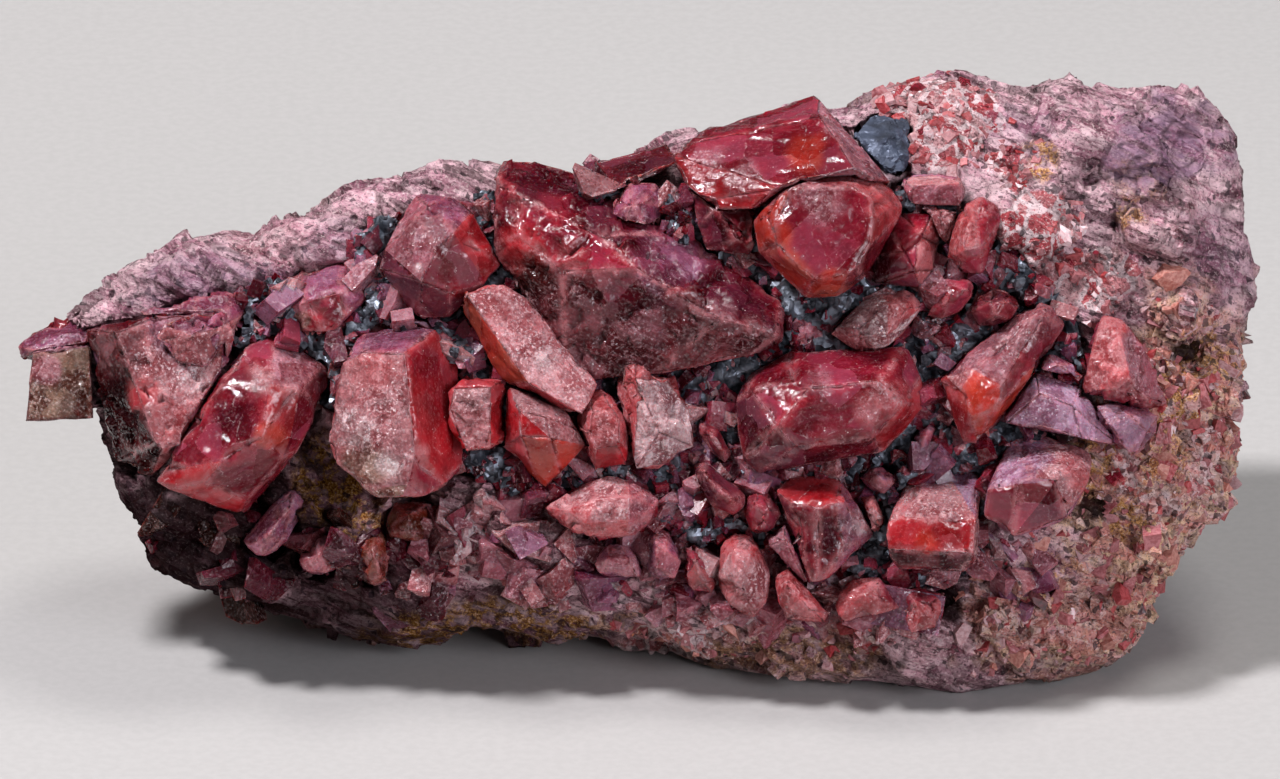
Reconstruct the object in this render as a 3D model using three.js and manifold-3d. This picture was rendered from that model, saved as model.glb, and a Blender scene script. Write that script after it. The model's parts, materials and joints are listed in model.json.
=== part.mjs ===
// A cabinet specimen of rhodonite: blocky red crystals set in grey galena, on a mass of granular rose
// rhodonite.
//
// Millimetres, +Z up. The specimen rests on a flat broken base at Z = 0, with its crystal-bearing face
// leaning back from the vertical by FACE_LEAN. Everything on that face is placed in the face's own frame,
// as [u, v, w]:
//   u  along the specimen, 0 at its middle, from -70 at the thin end to +70 at the thick end
//   v  up the slope of the face, 0 at its lowest point
//   w  out of the face, 0 at the general level of the galena between the crystals
// The origin is the middle of the base, under the middle of the whole specimen's box.
import * as THREE from "three";
import { ConvexGeometry } from "three/addons/geometries/ConvexGeometry.js";
import { mergeVertices } from "three/addons/utils/BufferGeometryUtils.js";
import Module from "manifold-3d";

const FACE_LEAN = THREE.MathUtils.degToRad(25);
const BASE_CUT = -3.4; // height, before the origin is moved, at which the underside is broken off flat
const GAP = 0.3; // running clearance between a crystal and what it is set in
const ROOT_SHARE = 0.72; // how wide a crystal's buried end is, as a share of its widest outline

const ROOT_SIDES = 6; // directions in which the buried end follows the outline
const FACE_SWELL = 0.4; // where a face lies between its corners' mean, 0, and the outermost of them, 1
const LEAST_EDGE = 0.8; // corners of a crystal nearer together than this are one
const FACE_SPREAD = THREE.MathUtils.degToRad(19); // facets that turn less than this are one crystal face

const SECTION_STEP = 3; // least spacing of the massive body's cross-sections along u
const SECTION_SIDES = 16; // corners in each cross-section, a multiple of four
const END_PLACES = [65.6, 67.6, 69.3, 69.9]; // where along u the last cross-sections are, at the thick end
const SQUARENESS = 2.7; // superellipse exponent of the cross-sections: 2 is round, more is boxier

const wasm = await Module();
wasm.setup();

// ---------------------------------------------------------------- outlines of the massive body

// [u, v] along the upper and the lower edge of the massive rhodonite.
const UPPER_EDGE = [
  [-66, 41], [-64, 42.2], [-62.3, 44.9], [-60, 46.8], [-57, 48], [-53.6, 50.6], [-50.8, 52.8],
  [-46.2, 53], [-42.8, 52.2], [-38.9, 53.9], [-37.4, 52.6], [-36, 55.2], [-33.5, 57], [-28.7, 58.4],
  [-25.5, 59], [-23, 60.7], [-20.8, 61], [-16, 60], [-9, 59.2], [-3.5, 60], [0.7, 61.2], [5.3, 64],
  [12, 64.4], [18.8, 67], [21.7, 67.8], [24.5, 67.4], [26.8, 68.1], [30.2, 69.6], [34.7, 70.4],
  [38.1, 71.5], [40, 70.3], [44.9, 69.1], [49.4, 70.1], [51.7, 69.4], [55, 68], [57.9, 68.7],
  [61.8, 69.4], [65.2, 67.6], [66.9, 65.9], [69.2, 61.6], [69.5, 52], [70, 50],
];
const LOWER_EDGE = [
  [-66, 39], [-62, 36], [-60, 31], [-58.4, 26.5], [-57, 23], [-56.4, 18], [-54.4, 15], [-49, 12.2],
  [-43.4, 10.2], [-37.7, 8.2], [-32, 6.9], [-26.4, 6.2], [-19.6, 7.1], [-8.3, 6.5], [-1.5, 6.7], [3, 5.8],
  [7.5, 4.1], [13.2, 2.7], [21.1, 1.9], [27.9, 1.5], [33.5, 0.6], [36.9, 0], [41.5, 0.8], [46, 1.9],
  [52.8, 4], [56.2, 5.6], [57.6, 9], [58.6, 13.4], [62, 16], [63.9, 20.5], [65.8, 23.8], [67.6, 25.2],
  [69, 32], [69.6, 44], [70, 48],
];
// [u, w] of the upper edge, the lower edge, the front and the back of the massive body.
const UPPER_DEPTH = [[-66, -7], [-50, -11], [-20, -13], [30, -13], [45, -17], [70, -18]];
const LOWER_DEPTH = [
  [-66, -8], [-52, -14], [-35, -19], [0, -17], [20, -11], [37, -8], [56, -11], [70, -18],
];
const FRONT_LEVEL = [[-66, -4], [-58, -3], [-45, -1], [-30, 0], [42, 0], [52, -2], [62, -6], [70, -14]];
const BACK_LEVEL = [
  [-66, -13], [-58, -25], [-45, -34], [-20, -40], [20, -43], [45, -43], [60, -37], [70, -22],
];

// The galena pocket: [u, v] round its edge, and the levels of its face and of its floor.
const GALENA_EDGE = [
  [-45, 38], [-44.5, 46], [-40.5, 47], [-36, 43], [-31.5, 46], [-31.5, 52], [-28, 54], [-16.8, 56],
  [-5, 57.5], [4, 57], [12, 57], [24, 58], [34, 56.5], [41, 53], [45, 47.5], [49.5, 43], [51, 36],
  [46, 29], [41, 27], [39.5, 15], [33, 13], [26, 14], [18, 16], [8, 17.5], [2, 20], [-7, 22.5], [-14, 23],
  [-19, 26], [-33, 33], [-38, 34],
];
const GALENA_FACE = 0.6;
const GALENA_FLOOR = -8.5;

// ---------------------------------------------------------------- the crystals
//
// Each crystal is convex: the corners of its exposed faces, then the depth to which it is buried. Crystals
// are listed from the most complete to the most crowded, and each is cut back by those before it, as they
// grew into each other.
const CRYSTALS = [
  // the large crystals of the upper right
  {
    name: "great_crystal_lower_tier", finish: "gem",
    root: -4,
    corners: [
      [14.6, 54.6, 8.6], [16.2, 57, 8.4], [18.6, 57.9, 8.6], [25, 57.9, 8.8], [27.4, 56, 9],
      [26.6, 50.6, 10], [24.6, 47.8, 10.2], [21, 47, 10.2], [18.3, 48.6, 10.2], [15.3, 52.3, 9.6],
      [13.2, 53.8, 5.6], [13.9, 50.3, 5], [17, 47, 4.8], [20.2, 44.9, 4.6], [23.2, 45.1, 4.6],
      [26.4, 47.4, 4.2], [28.6, 52.5, 4], [30.4, 55.7, 3], [28.9, 58, 2.6], [24, 60, 2],
    ],
  },
  {
    name: "great_crystal_upper_tier", finish: "gem",
    root: -12,
    corners: [
      [4.6, 61.6, -1], [5.2, 58.6, 1.6], [8, 56.2, 4.2], [13, 54.8, 6], [15.6, 57.3, 7.4], [8, 64.3, -5],
      [12.4, 64.9, -6], [16.4, 66.4, -7], [20.6, 68.3, -8], [22.2, 66.4, -4], [29, 58.1, 1.8],
      [26.8, 58.6, 6.6], [21, 65.6, 0.6], [18, 58.2, 7.8],
    ],
  },
  {
    name: "striated_step", finish: "wine",
    root: -4,
    corners: [
      [6.6, 57.4, 1.2], [12.8, 56, 3.4], [14.2, 52, 3.8], [13.2, 49.8, 2.6], [8.6, 50.4, 2], [7.7, 52, 1.8],
      [6.8, 55, 1.4], [9, 55.4, 3.4], [12.6, 51.4, 4],
    ],
  },
  {
    name: "central_crystal", finish: "gem",
    root: -4,
    corners: [
      [11.6, 34.2, 2.4], [12.9, 36.6, 2], [15.6, 38.2, 1.6], [21.5, 39.6, 1.2], [25.5, 38.3, 1.6],
      [31.2, 38.6, 1], [32.8, 36.5, 1.4], [33, 33.8, 1.8], [31.2, 30.3, 2.4], [27.4, 27.5, 2.6],
      [22, 26.9, 2.8], [17, 26.6, 3], [14.2, 25, 3], [12.6, 26.2, 3], [11.4, 31, 2.6], [13.2, 34.8, 5.4],
      [14.2, 29, 6.4], [16.6, 35.8, 6.6], [18.6, 34.9, 8.4], [16.4, 30.6, 8.6], [17.4, 28.2, 7.4],
      [28.2, 35.5, 8], [30.9, 33.4, 6.4], [27, 29, 7], [21, 37.6, 5.2], [29, 37.2, 4.4],
    ],
  },
  {
    name: "band_crystal", finish: "mauve",
    root: -6,
    corners: [
      [-15.4, 58.4, 2.6], [-15, 60.1, -3], [-12.5, 60.7, -5], [-9, 60, -5.5], [-3.6, 57, -3],
      [-2.4, 55.3, -1], [-10, 55.6, 5], [-5.5, 52.6, 6.6], [0, 48.8, 7.4], [5, 45.6, 7.4], [11, 42.5, 7],
      [16.4, 40.9, 5.2], [2, 54.3, -1], [7.6, 51.9, 0], [13, 47.6, 0], [17, 43.6, 0.4], [17, 40.3, 2.6],
      [12.6, 38, 3.4], [8, 37.4, 3.6], [3, 38.4, 4], [-4.4, 36.2, 2.8], [-8.5, 40.5, 2.6],
      [-13, 46.2, 2.2], [-15.5, 48.4, 2], [-15.8, 54, 2.8], [-12.4, 51.4, 5.6], [-6, 48, 7],
    ],
  },
  {
    name: "ruby_block", finish: "gem",
    root: -7,
    corners: [
      [-28.8, 49.2, 3.6], [-27.6, 51.6, 0.6], [-26.2, 55.3, -2], [-24, 57.1, -3], [-23.6, 55.8, 3.6],
      [-20.8, 56.8, 0.6], [-18.9, 55.1, 2.4], [-16.8, 52.6, 2], [-15.6, 48.5, 2], [-16.6, 47, 2.8],
      [-20.6, 45.4, 5], [-24, 46.4, 7.8], [-22.4, 50.4, 8], [-20.2, 52.8, 6.8], [-21, 43, 1.6],
      [-23.8, 42.6, 1.8], [-26.4, 44.4, 1.8], [-28, 48, 2.4],
    ],
  },
  {
    name: "tall_prism", finish: "frosted",
    root: -6,
    corners: [
      [-32.7, 38.2, 6.2], [-31, 39.4, 6.6], [-25.8, 39.3, 8.6], [-25.4, 24, 9.2], [-26, 22.4, 8.2],
      [-29, 22.9, 7.2], [-31.6, 24.5, 6.2], [-33.9, 27, 5], [-34.2, 32.4, 5.2], [-30.8, 41, 1.4],
      [-26.5, 42.4, -0.6], [-22.6, 41.7, 2.8], [-21.2, 27, 5], [-21.2, 24, 4.8], [-23.6, 22.5, 6.8],
      [-20, 38, -1.6], [-19.3, 26, 0], [-20.4, 24.5, 0.6],
    ],
  },
  {
    name: "split_fan_crystal", finish: "gem",
    root: -7,
    corners: [
      [-53.6, 24.7, 4.2], [-51.6, 28.8, 4.6], [-46.4, 35.8, 4.8], [-44.4, 39.5, 2], [-40.6, 41.3, -0.5],
      [-37, 38.7, 0.4], [-34.4, 37.4, -1], [-35, 32.5, 1], [-38, 27.5, 2.6], [-42, 24.4, 3],
      [-47, 23.5, 3.6], [-52, 23.4, 4], [-41, 35.4, 7.4], [-37.6, 35, 5.6], [-41, 30, 7.8],
      [-46, 27, 7.2], [-44.5, 20.6, -2],
    ],
  },
  {
    name: "left_slab", finish: "rose",
    root: -10,
    corners: [
      [-58.6, 41.3, 4.6], [-55, 42.8, 3.6], [-46.8, 43, 2], [-46.4, 38, 3], [-50.8, 28.6, 5],
      [-53.3, 27.9, 5], [-61.6, 41.8, -3.4], [-60.2, 35, -6], [-59, 26.4, -7], [-55, 24.9, -3],
    ],
  },
  {
    name: "pink_lath", finish: "frosted",
    root: -4,
    corners: [
      [-19.7, 45.7, 5], [-15, 46.8, 3], [-12.3, 45.3, 3], [-9.4, 42.5, 3.4], [-4.4, 35, 3.6],
      [-6.4, 31.9, 4.6], [-11.8, 35.3, 6.6], [-15.6, 41.3, 6.8], [-20.1, 45.7, 1.6], [-19, 42.5, 1.6],
      [-14.2, 35.3, 2.4],
    ],
  },
  {
    name: "long_red_prism", finish: "gem",
    root: -4,
    corners: [
      [45.3, 45.1, 1], [47.3, 44.8, 0.4], [48.9, 42.3, 1], [46.8, 39, 2.2], [34.2, 35.9, 2],
      [37, 37.7, 2], [41.6, 32.3, 3.8], [39.7, 29, 3], [38.4, 27.9, 3], [37.2, 28.7, 3], [35.4, 33, 2.6],
      [38.2, 37.2, 6.2], [46.2, 43.6, 3.8], [41.6, 35.2, 7.4], [40.8, 32.4, 7], [38.2, 31.5, 7],
      [36.7, 34.5, 6.2],
    ],
  },
  {
    name: "striped_prism", finish: "gem",
    root: -5,
    corners: [
      [31.6, 25.8, -2], [34.2, 27.3, -3.5], [39.3, 27.1, -3.5], [39.4, 24, 0], [30, 22.3, 3],
      [32.6, 24, 1.8], [28.8, 20.1, 6.6], [38.8, 20.2, 6.6], [28.7, 16.8, 7.4], [38.2, 16, 7.4],
      [29.4, 14.6, 4.8], [37.4, 14, 4.8], [38.8, 15.4, 4.2],
    ],
  },
  {
    name: "violet_block", finish: "violet",
    root: -6,
    corners: [
      [42.6, 30, -1.4], [46, 29.9, -2], [48.8, 28.2, 0], [40, 23.6, 7], [44, 24.5, 8.2], [48, 25, 7.8],
      [51.9, 27, 0.4], [51.6, 25.2, 3], [50.2, 21.4, 4.6], [49, 20, 5.2], [46, 18.8, 5.4],
      [42.5, 18.2, 5.4], [39.7, 20.3, 5.2], [50.6, 28, -0.4],
    ],
  },
  {
    name: "wine_prism", finish: "gem",
    root: -4,
    corners: [
      [16, 23.2, 2.6], [17.4, 25.1, 0.6], [20.5, 25.9, -0.4], [23.8, 25.1, 0.6], [24.9, 23, 2.6],
      [20.8, 21.8, 6.6], [17.5, 22, 5.4], [23.8, 22.2, 5.6], [27.3, 18.2, 2.6], [24, 16.8, 4.8],
      [21.8, 13.3, 4.2], [20, 12.9, 4.2], [18.8, 16.5, 4.2], [17.4, 20, 4],
    ],
  },
  {
    name: "red_lath", finish: "gem",
    root: -4,
    corners: [
      [37.4, 56, 2], [39.3, 56.7, 1.4], [40.9, 55.9, 1], [41.7, 54.3, 1], [40.6, 50.5, 2.2],
      [39.2, 47.8, 3], [36.5, 47.8, 3.4], [35.2, 49.3, 3.4], [35.7, 52, 3], [37.6, 53.8, 6],
      [38.9, 54, 5.8], [39.2, 50.2, 6.6], [37, 50, 6.6],
    ],
  },
  {
    name: "salmon_block", finish: "frosted",
    root: -4,
    corners: [
      [22.1, 41, 2.4], [25, 44.2, 1.8], [28.5, 46, 1.4], [31.6, 45.9, 1.4], [32.8, 44.4, 2],
      [30.3, 40.6, 3], [28.9, 39.3, 3.4], [26.6, 38.9, 3.4], [24.3, 39.4, 3], [24.5, 42, 5.2],
      [29.5, 44.5, 5.2], [31, 44, 4.8], [28.8, 41, 6.2], [25.5, 40.4, 5.8],
    ],
  },
  {
    name: "crimson_side_crystal", finish: "wine",
    root: -4,
    corners: [
      [30.4, 55, 0.4], [34, 55, 0.4], [34.9, 51.5, 1], [34, 48, 1.6], [32.6, 46.5, 2], [29.6, 46.5, 2],
      [27.2, 47, 1.6], [27.6, 50, 2], [29, 53.3, 1.6], [32.6, 52.4, 4.2], [31.6, 48.2, 5.2],
      [30.4, 50.4, 4.6],
    ],
  },
  {
    name: "stepped_cube", finish: "stepped",
    root: -4,
    corners: [
      [-20.5, 34.7, 4.8], [-16, 35.2, 6.2], [-16.2, 28.6, 6.2], [-19.2, 27.7, 4.8], [-20.2, 29.6, 4.2],
      [-20.7, 32, 4.4], [-19.4, 36, 1.4], [-15, 36, 2.6], [-14.6, 34, 2], [-15, 28.5, 2.4],
    ],
  },
  {
    name: "grey_rose_crystal", finish: "frosted",
    root: -4,
    corners: [
      [-14, 35, 3], [-12.4, 35.2, 2.6], [-8.5, 33.2, 3.2], [-6.4, 30.6, 3.6], [-6, 28.6, 4],
      [-8, 25.4, 2.6], [-10.2, 23.9, 1.2], [-13.6, 27.3, 2.6], [-14.6, 28, 2], [-14.6, 33, 2],
      [-13, 29.6, 6.6], [-12.9, 32.3, 6.2], [-9.4, 29.2, 6.6], [-9.8, 31.6, 6.4],
    ],
  },
  {
    name: "salmon_bead", finish: "salmon",
    root: -4,
    corners: [
      [-5.3, 34.7, 2.4], [-3.5, 35, 2], [-1.9, 33.9, 2.4], [-0.9, 31.8, 3], [-0.4, 28, 3],
      [-0.6, 26.3, 2.6], [-1.8, 25.8, 2.8], [-4.3, 25.8, 2.6], [-5.5, 28, 2.8], [-6.5, 31.3, 2.6],
      [-6.2, 33.2, 2.6], [-4.9, 32.1, 6], [-2.2, 32.9, 5.8], [-1.4, 31.3, 6], [-1.5, 28.4, 6.2],
      [-4.3, 28, 6.2], [-5.1, 30, 6],
    ],
  },
  {
    name: "white_frosted_lath", finish: "frosted",
    root: -4,
    corners: [
      [-1.6, 38, 3], [0.3, 38, 4], [3.2, 36.6, 3.6], [6.2, 33, 2.6], [6.6, 31, 2.4], [6.6, 27.8, 2],
      [3.6, 25.8, 2.2], [0.4, 26, 3], [-0.2, 32, 5.2], [0, 36.6, 6], [-1.9, 34.6, 1.6], [3, 30, 5.6],
    ],
  },
  {
    name: "lower_fan_crystal", finish: "salmon",
    root: -5,
    corners: [
      [-10.2, 21.6, 1.4], [-6.5, 23.6, 1.4], [-3.6, 25.2, 1], [0.5, 24.5, 1.6], [2.8, 23.3, 2],
      [3.6, 21.6, 2.6], [2, 19.7, 3.6], [0, 18.2, 3.6], [-5.6, 17.8, 3.6], [-7.8, 19.1, 3],
      [-4.6, 22.4, 5.6], [0, 22.6, 6], [-0.5, 19.8, 6.2], [-5.5, 20, 5.8], [-7.6, 21, 4.6],
    ],
  },
  {
    name: "salmon_wedge", finish: "salmon",
    root: -7,
    corners: [
      [51.2, 34.2, 2.2], [51.3, 38, 2.2], [52.2, 41, 2], [53.6, 43.2, 1], [55.2, 42.8, 0],
      [57.8, 39.8, -1.4], [59.5, 36.5, -3], [60.2, 32.8, -3], [58, 32.6, 0.6], [54.5, 41.3, 3],
      [56.4, 36, 4.6], [54.5, 34.3, 4.4], [52.3, 34.5, 3.8], [58, 33.4, 1.8],
    ],
  },
  {
    name: "lilac_slab", finish: "violet",
    root: -6,
    corners: [
      [41.5, 32.6, 2.2], [45.4, 36.7, 1.2], [50.4, 35.2, 0.4], [51.6, 33.2, 0.8], [54.8, 28.8, 0.6],
      [51.5, 29, 3], [46, 30.4, 4.2], [42, 31.4, 3.8], [45.8, 34.4, 4.4], [50, 32.8, 3.8],
    ],
  },
  {
    name: "lilac_chip", finish: "violet",
    root: -3,
    corners: [
      [44.9, 38.2, 1.4], [46.8, 39, 1], [49.8, 37.8, 1], [50.6, 36.2, 1.4], [48.3, 36.4, 2.4],
      [46, 37.2, 3], [48, 37.6, 3.4],
    ],
  },
  {
    name: "grey_slab", finish: "violet",
    root: -6,
    corners: [
      [52.4, 33, 1.4], [54.5, 33.6, 1], [59.6, 31.8, -1], [59.4, 29.8, 0], [57, 27.6, 1.6],
      [56.2, 27.6, 1.8], [53.4, 31, 2.8], [56, 32, 3], [58.2, 30, 2.4],
    ],
  },
  {
    name: "little_red_crystal", finish: "gem",
    root: -3,
    corners: [
      [37.8, 43.6, 1.6], [38.9, 45.5, 1.4], [40.6, 46.4, 1.4], [42.6, 46, 1.4], [43.9, 44.2, 1.4],
      [42.6, 42.7, 2], [40.4, 42, 2], [38.8, 42.3, 2], [39.8, 44.6, 4.8], [42, 44.8, 4.6], [41, 43.2, 5],
    ],
  },
  {
    name: "pink_foot_crystal", finish: "salmon",
    root: -4,
    corners: [
      [35.4, 47.6, 2.4], [38.6, 47.2, 2.4], [38.8, 46, 2.4], [37.2, 43.6, 1.4], [35, 42.4, 1.4],
      [33.2, 42.8, 2], [34, 46, 3], [35.8, 45.2, 5], [37.6, 46, 4.4],
    ],
  },
  {
    name: "pink_bar_crystal", finish: "rose",
    root: -5,
    corners: [
      [29.8, 58.3, 0.2], [31, 59.2, -1], [37.4, 59.2, -1], [37.8, 57.2, 0], [36.8, 55.6, 1.8],
      [31.6, 55.8, 2], [30.7, 56.6, 1.8], [31.6, 57.9, 2.8], [36.8, 57.9, 2.6],
    ],
  },
  {
    name: "crimson_dart", finish: "magenta",
    root: -4,
    corners: [
      [6.7, 26.9, 1.6], [7.8, 27.3, 1.6], [12.7, 22.9, 2.4], [12.6, 21.6, 3], [11.3, 20.6, 2.6],
      [9, 21.5, 2.4], [6.6, 24.5, 1.6], [8, 25.3, 5], [11.2, 22.4, 5.6], [9.6, 23, 5.6],
    ],
  },
  {
    name: "crimson_chip", finish: "magenta",
    root: -3,
    corners: [
      [7.2, 31.3, 1.4], [9.3, 31.1, 1.4], [10.8, 28.8, 1.4], [11.3, 27, 1.4], [10.7, 26, 1.6],
      [8.9, 27.4, 2], [7.2, 29.5, 2], [8.4, 29.9, 4.4], [10, 28, 4.4],
    ],
  },
  {
    name: "magenta_crystal", finish: "magenta",
    root: -3,
    corners: [
      [12.9, 22.6, 2], [14, 23.8, 1.6], [15.4, 23.4, 1.6], [16.8, 20.8, 2.4], [15.6, 18.8, 3],
      [13.4, 18.6, 2.6], [12.6, 20.5, 2.4], [13.8, 22, 5], [15.4, 21.2, 5], [14.7, 20, 5],
    ],
  },
  {
    name: "violet_nub", finish: "mauve",
    root: -5,
    corners: [
      [-2, 56.9, 1], [0, 58.4, -0.4], [3, 58.2, -1.4], [4.4, 56, -1.4], [3.2, 53.8, 0.8], [0.8, 53.2, 3.4],
      [-1.2, 53, 3.4], [-3.2, 54.2, 2.2], [-0.8, 55.6, 4.2], [1, 56, 3.6],
    ],
  },
  {
    name: "rose_panel_crystal", finish: "rose",
    root: -4,
    corners: [
      [14.9, 18.6, 2.4], [17, 19.6, 3], [19, 16.8, 4], [20.2, 14.2, 3.4], [19.6, 13, 3], [17.5, 14.8, 2.8],
      [15, 17, 2.8], [17, 17.8, 4.8],
    ],
  },
  {
    name: "tan_pillar", finish: "frosted",
    root: -6,
    corners: [
      [9.7, 16.8, 1], [10.8, 18.5, 1], [12.2, 18.8, 1], [13.8, 18, 1], [15.4, 14.5, 1.6], [15.3, 10.5, 1],
      [13.6, 8.6, 0.6], [10.6, 10.2, 1.4], [9.6, 13, 1.8], [11.2, 17, 4.2], [13, 16.6, 4.2],
      [12.6, 11.2, 4], [11, 12.5, 4.2],
    ],
  },
  {
    name: "pink_pillar", finish: "salmon",
    root: -6,
    corners: [
      [16, 14, 1], [17.6, 14.6, 1], [19.2, 12.8, 1.4], [22.6, 9.4, 1], [21.8, 8.3, 1.2], [17.6, 8.7, 1.8],
      [16.3, 11, 2.2], [17.4, 12.6, 4], [20.3, 9.8, 3.6],
    ],
  },
  {
    name: "lower_red_block", finish: "salmon",
    root: -6,
    corners: [
      [23.2, 11.8, 1.4], [25, 13.5, 1], [28, 13.8, 1], [30.2, 10.4, 1.8], [27.8, 9.2, 2.4], [23.5, 9, 2.4],
      [26, 12, 4], [28, 11.3, 4], [22.6, 10.2, 1.6],
    ],
  },
  {
    name: "orange_block", finish: "salmon",
    root: -6,
    corners: [
      [30.8, 11.9, 0.6], [32.4, 12.4, 0], [35.2, 11.7, 0], [35, 9.4, 1.4], [34.4, 7.7, 1.6],
      [31.4, 7.3, 2.2], [30.6, 9.3, 2.4], [31.5, 11, 3.4], [33.5, 10.7, 3.2],
    ],
  },
  {
    name: "striped_chip", finish: "rose",
    root: -3,
    corners: [
      [25.2, 24.8, 1.4], [27.2, 26.4, 1.4], [29, 25.7, 1.4], [30, 24.4, 1.4], [28.4, 22.9, 2.4],
      [26.6, 23.8, 2.4], [27.6, 25, 4], [28.6, 24.3, 4],
    ],
  },
  {
    name: "tan_lath", finish: "frosted",
    root: -3,
    corners: [
      [25.8, 22.8, 1.4], [27.3, 23, 1.4], [28.4, 20.5, 2.4], [28.4, 18.8, 2.4], [27.5, 18.6, 2.4],
      [26.2, 21, 2.4], [27, 21.8, 4], [27.9, 19.7, 4],
    ],
  },
  {
    name: "upper_left_lens", finish: "mauve",
    root: -9,
    corners: [
      [-40.3, 45.5, -2], [-38.5, 48.2, -3], [-33, 49.6, -3.6], [-29.6, 48, -3], [-28.9, 46.2, -1],
      [-32, 43.4, 1.6], [-33.4, 41.6, 1.6], [-35.5, 40.9, 1.6], [-38, 41.6, 1.2], [-39.8, 43.4, 0.4],
      [-37, 45, 3.2], [-32.6, 45.8, 2.4],
    ],
  },
  {
    name: "left_lobe", finish: "rose",
    root: -8,
    corners: [
      [-54, 40.4, 4.4], [-55, 43.4, 2], [-49.4, 45.3, 1], [-45, 45.4, -0.4], [-43.6, 43.8, -0.4],
      [-45, 40, 1.6], [-46.4, 37.6, 2.6], [-48.6, 37.2, 4], [-51, 38, 5], [-50, 41, 6.2],
      [-46.6, 41.8, 4.2],
    ],
  },
  {
    name: "end_slab", finish: "mauve",
    root: -12,
    corners: [
      [-70, 39.6, -5.6], [-69.6, 40.8, -7], [-67, 41.9, -9], [-62.6, 43.6, -9], [-60, 42.6, -6],
      [-61.2, 40.4, -3.4], [-68, 39.2, -4.2], [-69.7, 37.8, -6],
    ],
  },
  {
    name: "top_red_chip", finish: "gem",
    root: -12,
    corners: [
      [-4.4, 60.4, -7], [-1, 61.2, -8], [3.8, 62.8, -8], [5, 60.6, -4], [1, 58.9, -1], [-2, 57.6, 0],
      [-4, 59, -2.4],
    ],
  },
  {
    name: "pale_chip", finish: "frosted",
    root: -3,
    corners: [
      [32.9, 55.2, 1.6], [35, 55.3, 1.6], [36.6, 54.6, 1.6], [35.7, 51.2, 2], [34.6, 52, 2],
      [34.6, 54.2, 3.6],
    ],
  },
  {
    name: "grey_bar", finish: "violet",
    root: -5,
    corners: [
      [-28.4, 42.2, -0.4], [-26.4, 43.6, -1], [-22.4, 42.6, 0], [-20.4, 40.6, 0.4], [-24, 41.4, 1.4],
      [-27, 42.6, 1.6],
    ],
  },
  {
    name: "violet_chip", finish: "violet",
    root: -3,
    corners: [
      [31.4, 29.6, 1.4], [33.4, 31.4, 1.4], [34.6, 30.6, 1.4], [33.6, 28.4, 2], [32.4, 27.6, 2],
      [33, 29.6, 3.8],
    ],
  },
  {
    name: "end_block", finish: "tan",
    root: -13,
    corners: [
      [-68.3, 38.7, -4], [-61.6, 39.8, -3], [-61.4, 31.6, -3], [-68.4, 31.2, -4], [-66.4, 40.8, -9],
      [-62.2, 41, -8.6],
    ],
  },
  {
    name: "purple_lath", finish: "violet",
    root: -9,
    corners: [
      [-44, 17.8, -1], [-40.6, 22, 0], [-38.2, 24.2, -1], [-37, 22, -1.4], [-38.3, 19.4, 0],
      [-40, 16.8, 0.6], [-42, 15.8, 0.2], [-43.6, 16.8, 0], [-41.6, 18.2, 2.6], [-39.2, 20.8, 2.2],
    ],
  },
  {
    name: "brown_corner_block", finish: "rose",
    root: -10,
    corners: [
      [-38.1, 16.8, -2], [-36.4, 18.6, -2], [-34.4, 18.4, -2], [-33.2, 16.4, -1.6], [-33.2, 14.8, -1.4],
      [-34.6, 13.8, -1], [-37, 13.8, -1], [-38.2, 15.2, -1.4], [-35.8, 16, 1],
    ],
  },
  {
    name: "amber_crystal", finish: "amber",
    root: -8,
    corners: [
      [-31, 17.6, -1], [-28.4, 19, -1.4], [-27.2, 16, -0.6], [-27.6, 13, -0.6], [-30, 12.3, -0.8],
      [-31.2, 14, -0.8], [-29.6, 17, 1.8], [-28.8, 14, 1.6],
    ],
  },
  {
    name: "amber_prism", finish: "amber",
    root: -7,
    corners: [
      [-28.2, 20, -0.4], [-27.2, 22, -1], [-22.8, 22, -1], [-22.6, 18.2, 0], [-24.4, 17.2, 1],
      [-28, 18.2, 0.6], [-25.4, 20.8, 2.6], [-25.6, 18.4, 2.8],
    ],
  },
  {
    name: "violet_rose_block", finish: "rose",
    root: -7,
    corners: [
      [-4.8, 15, 0.6], [-3.2, 17.4, 0.4], [-0.8, 17.4, 0.6], [0.6, 16, 1], [0.9, 13.8, 1], [-2, 13.4, 1],
      [-4.2, 13.8, 0.8], [-2.8, 16, 3.2], [-0.4, 15.4, 3.2],
    ],
  },
  {
    name: "rose_wedge", finish: "rose",
    root: -7,
    corners: [
      [1.2, 18.2, 1], [2.6, 19.4, 0.6], [4, 18.8, 0.6], [5.6, 15.4, 1], [4.7, 13.4, 0.6], [1.4, 13.4, 1],
      [2.4, 17.6, 3.6], [3.8, 16.4, 3.8], [2.6, 14.4, 3.4],
    ],
  },
  {
    name: "pink_corner_block", finish: "salmon",
    root: -7,
    corners: [
      [6, 17.2, 0.6], [8, 16, 0.6], [9.8, 13.3, 0.6], [9, 11.6, 0.4], [6.4, 11.8, 0.8], [5.6, 13.8, 1],
      [6.9, 15.6, 3.2], [8, 12.8, 3],
    ],
  },
];

// The block of galena that shows by itself beside the great crystal.
const GALENA_BLOCK = [
  [24.9, 63.4, -2.4], [27, 65.6, -5], [28.6, 66, -5.4], [31.2, 65.3, -5], [30.4, 63, -2.6], [30.8, 59.6, 0],
  [29.2, 59, 0.6], [27.6, 60.4, 0.2], [26, 62.2, -1], [28.4, 63.2, -0.6],
];
const GALENA_BLOCK_ROOT = -12;

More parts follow.
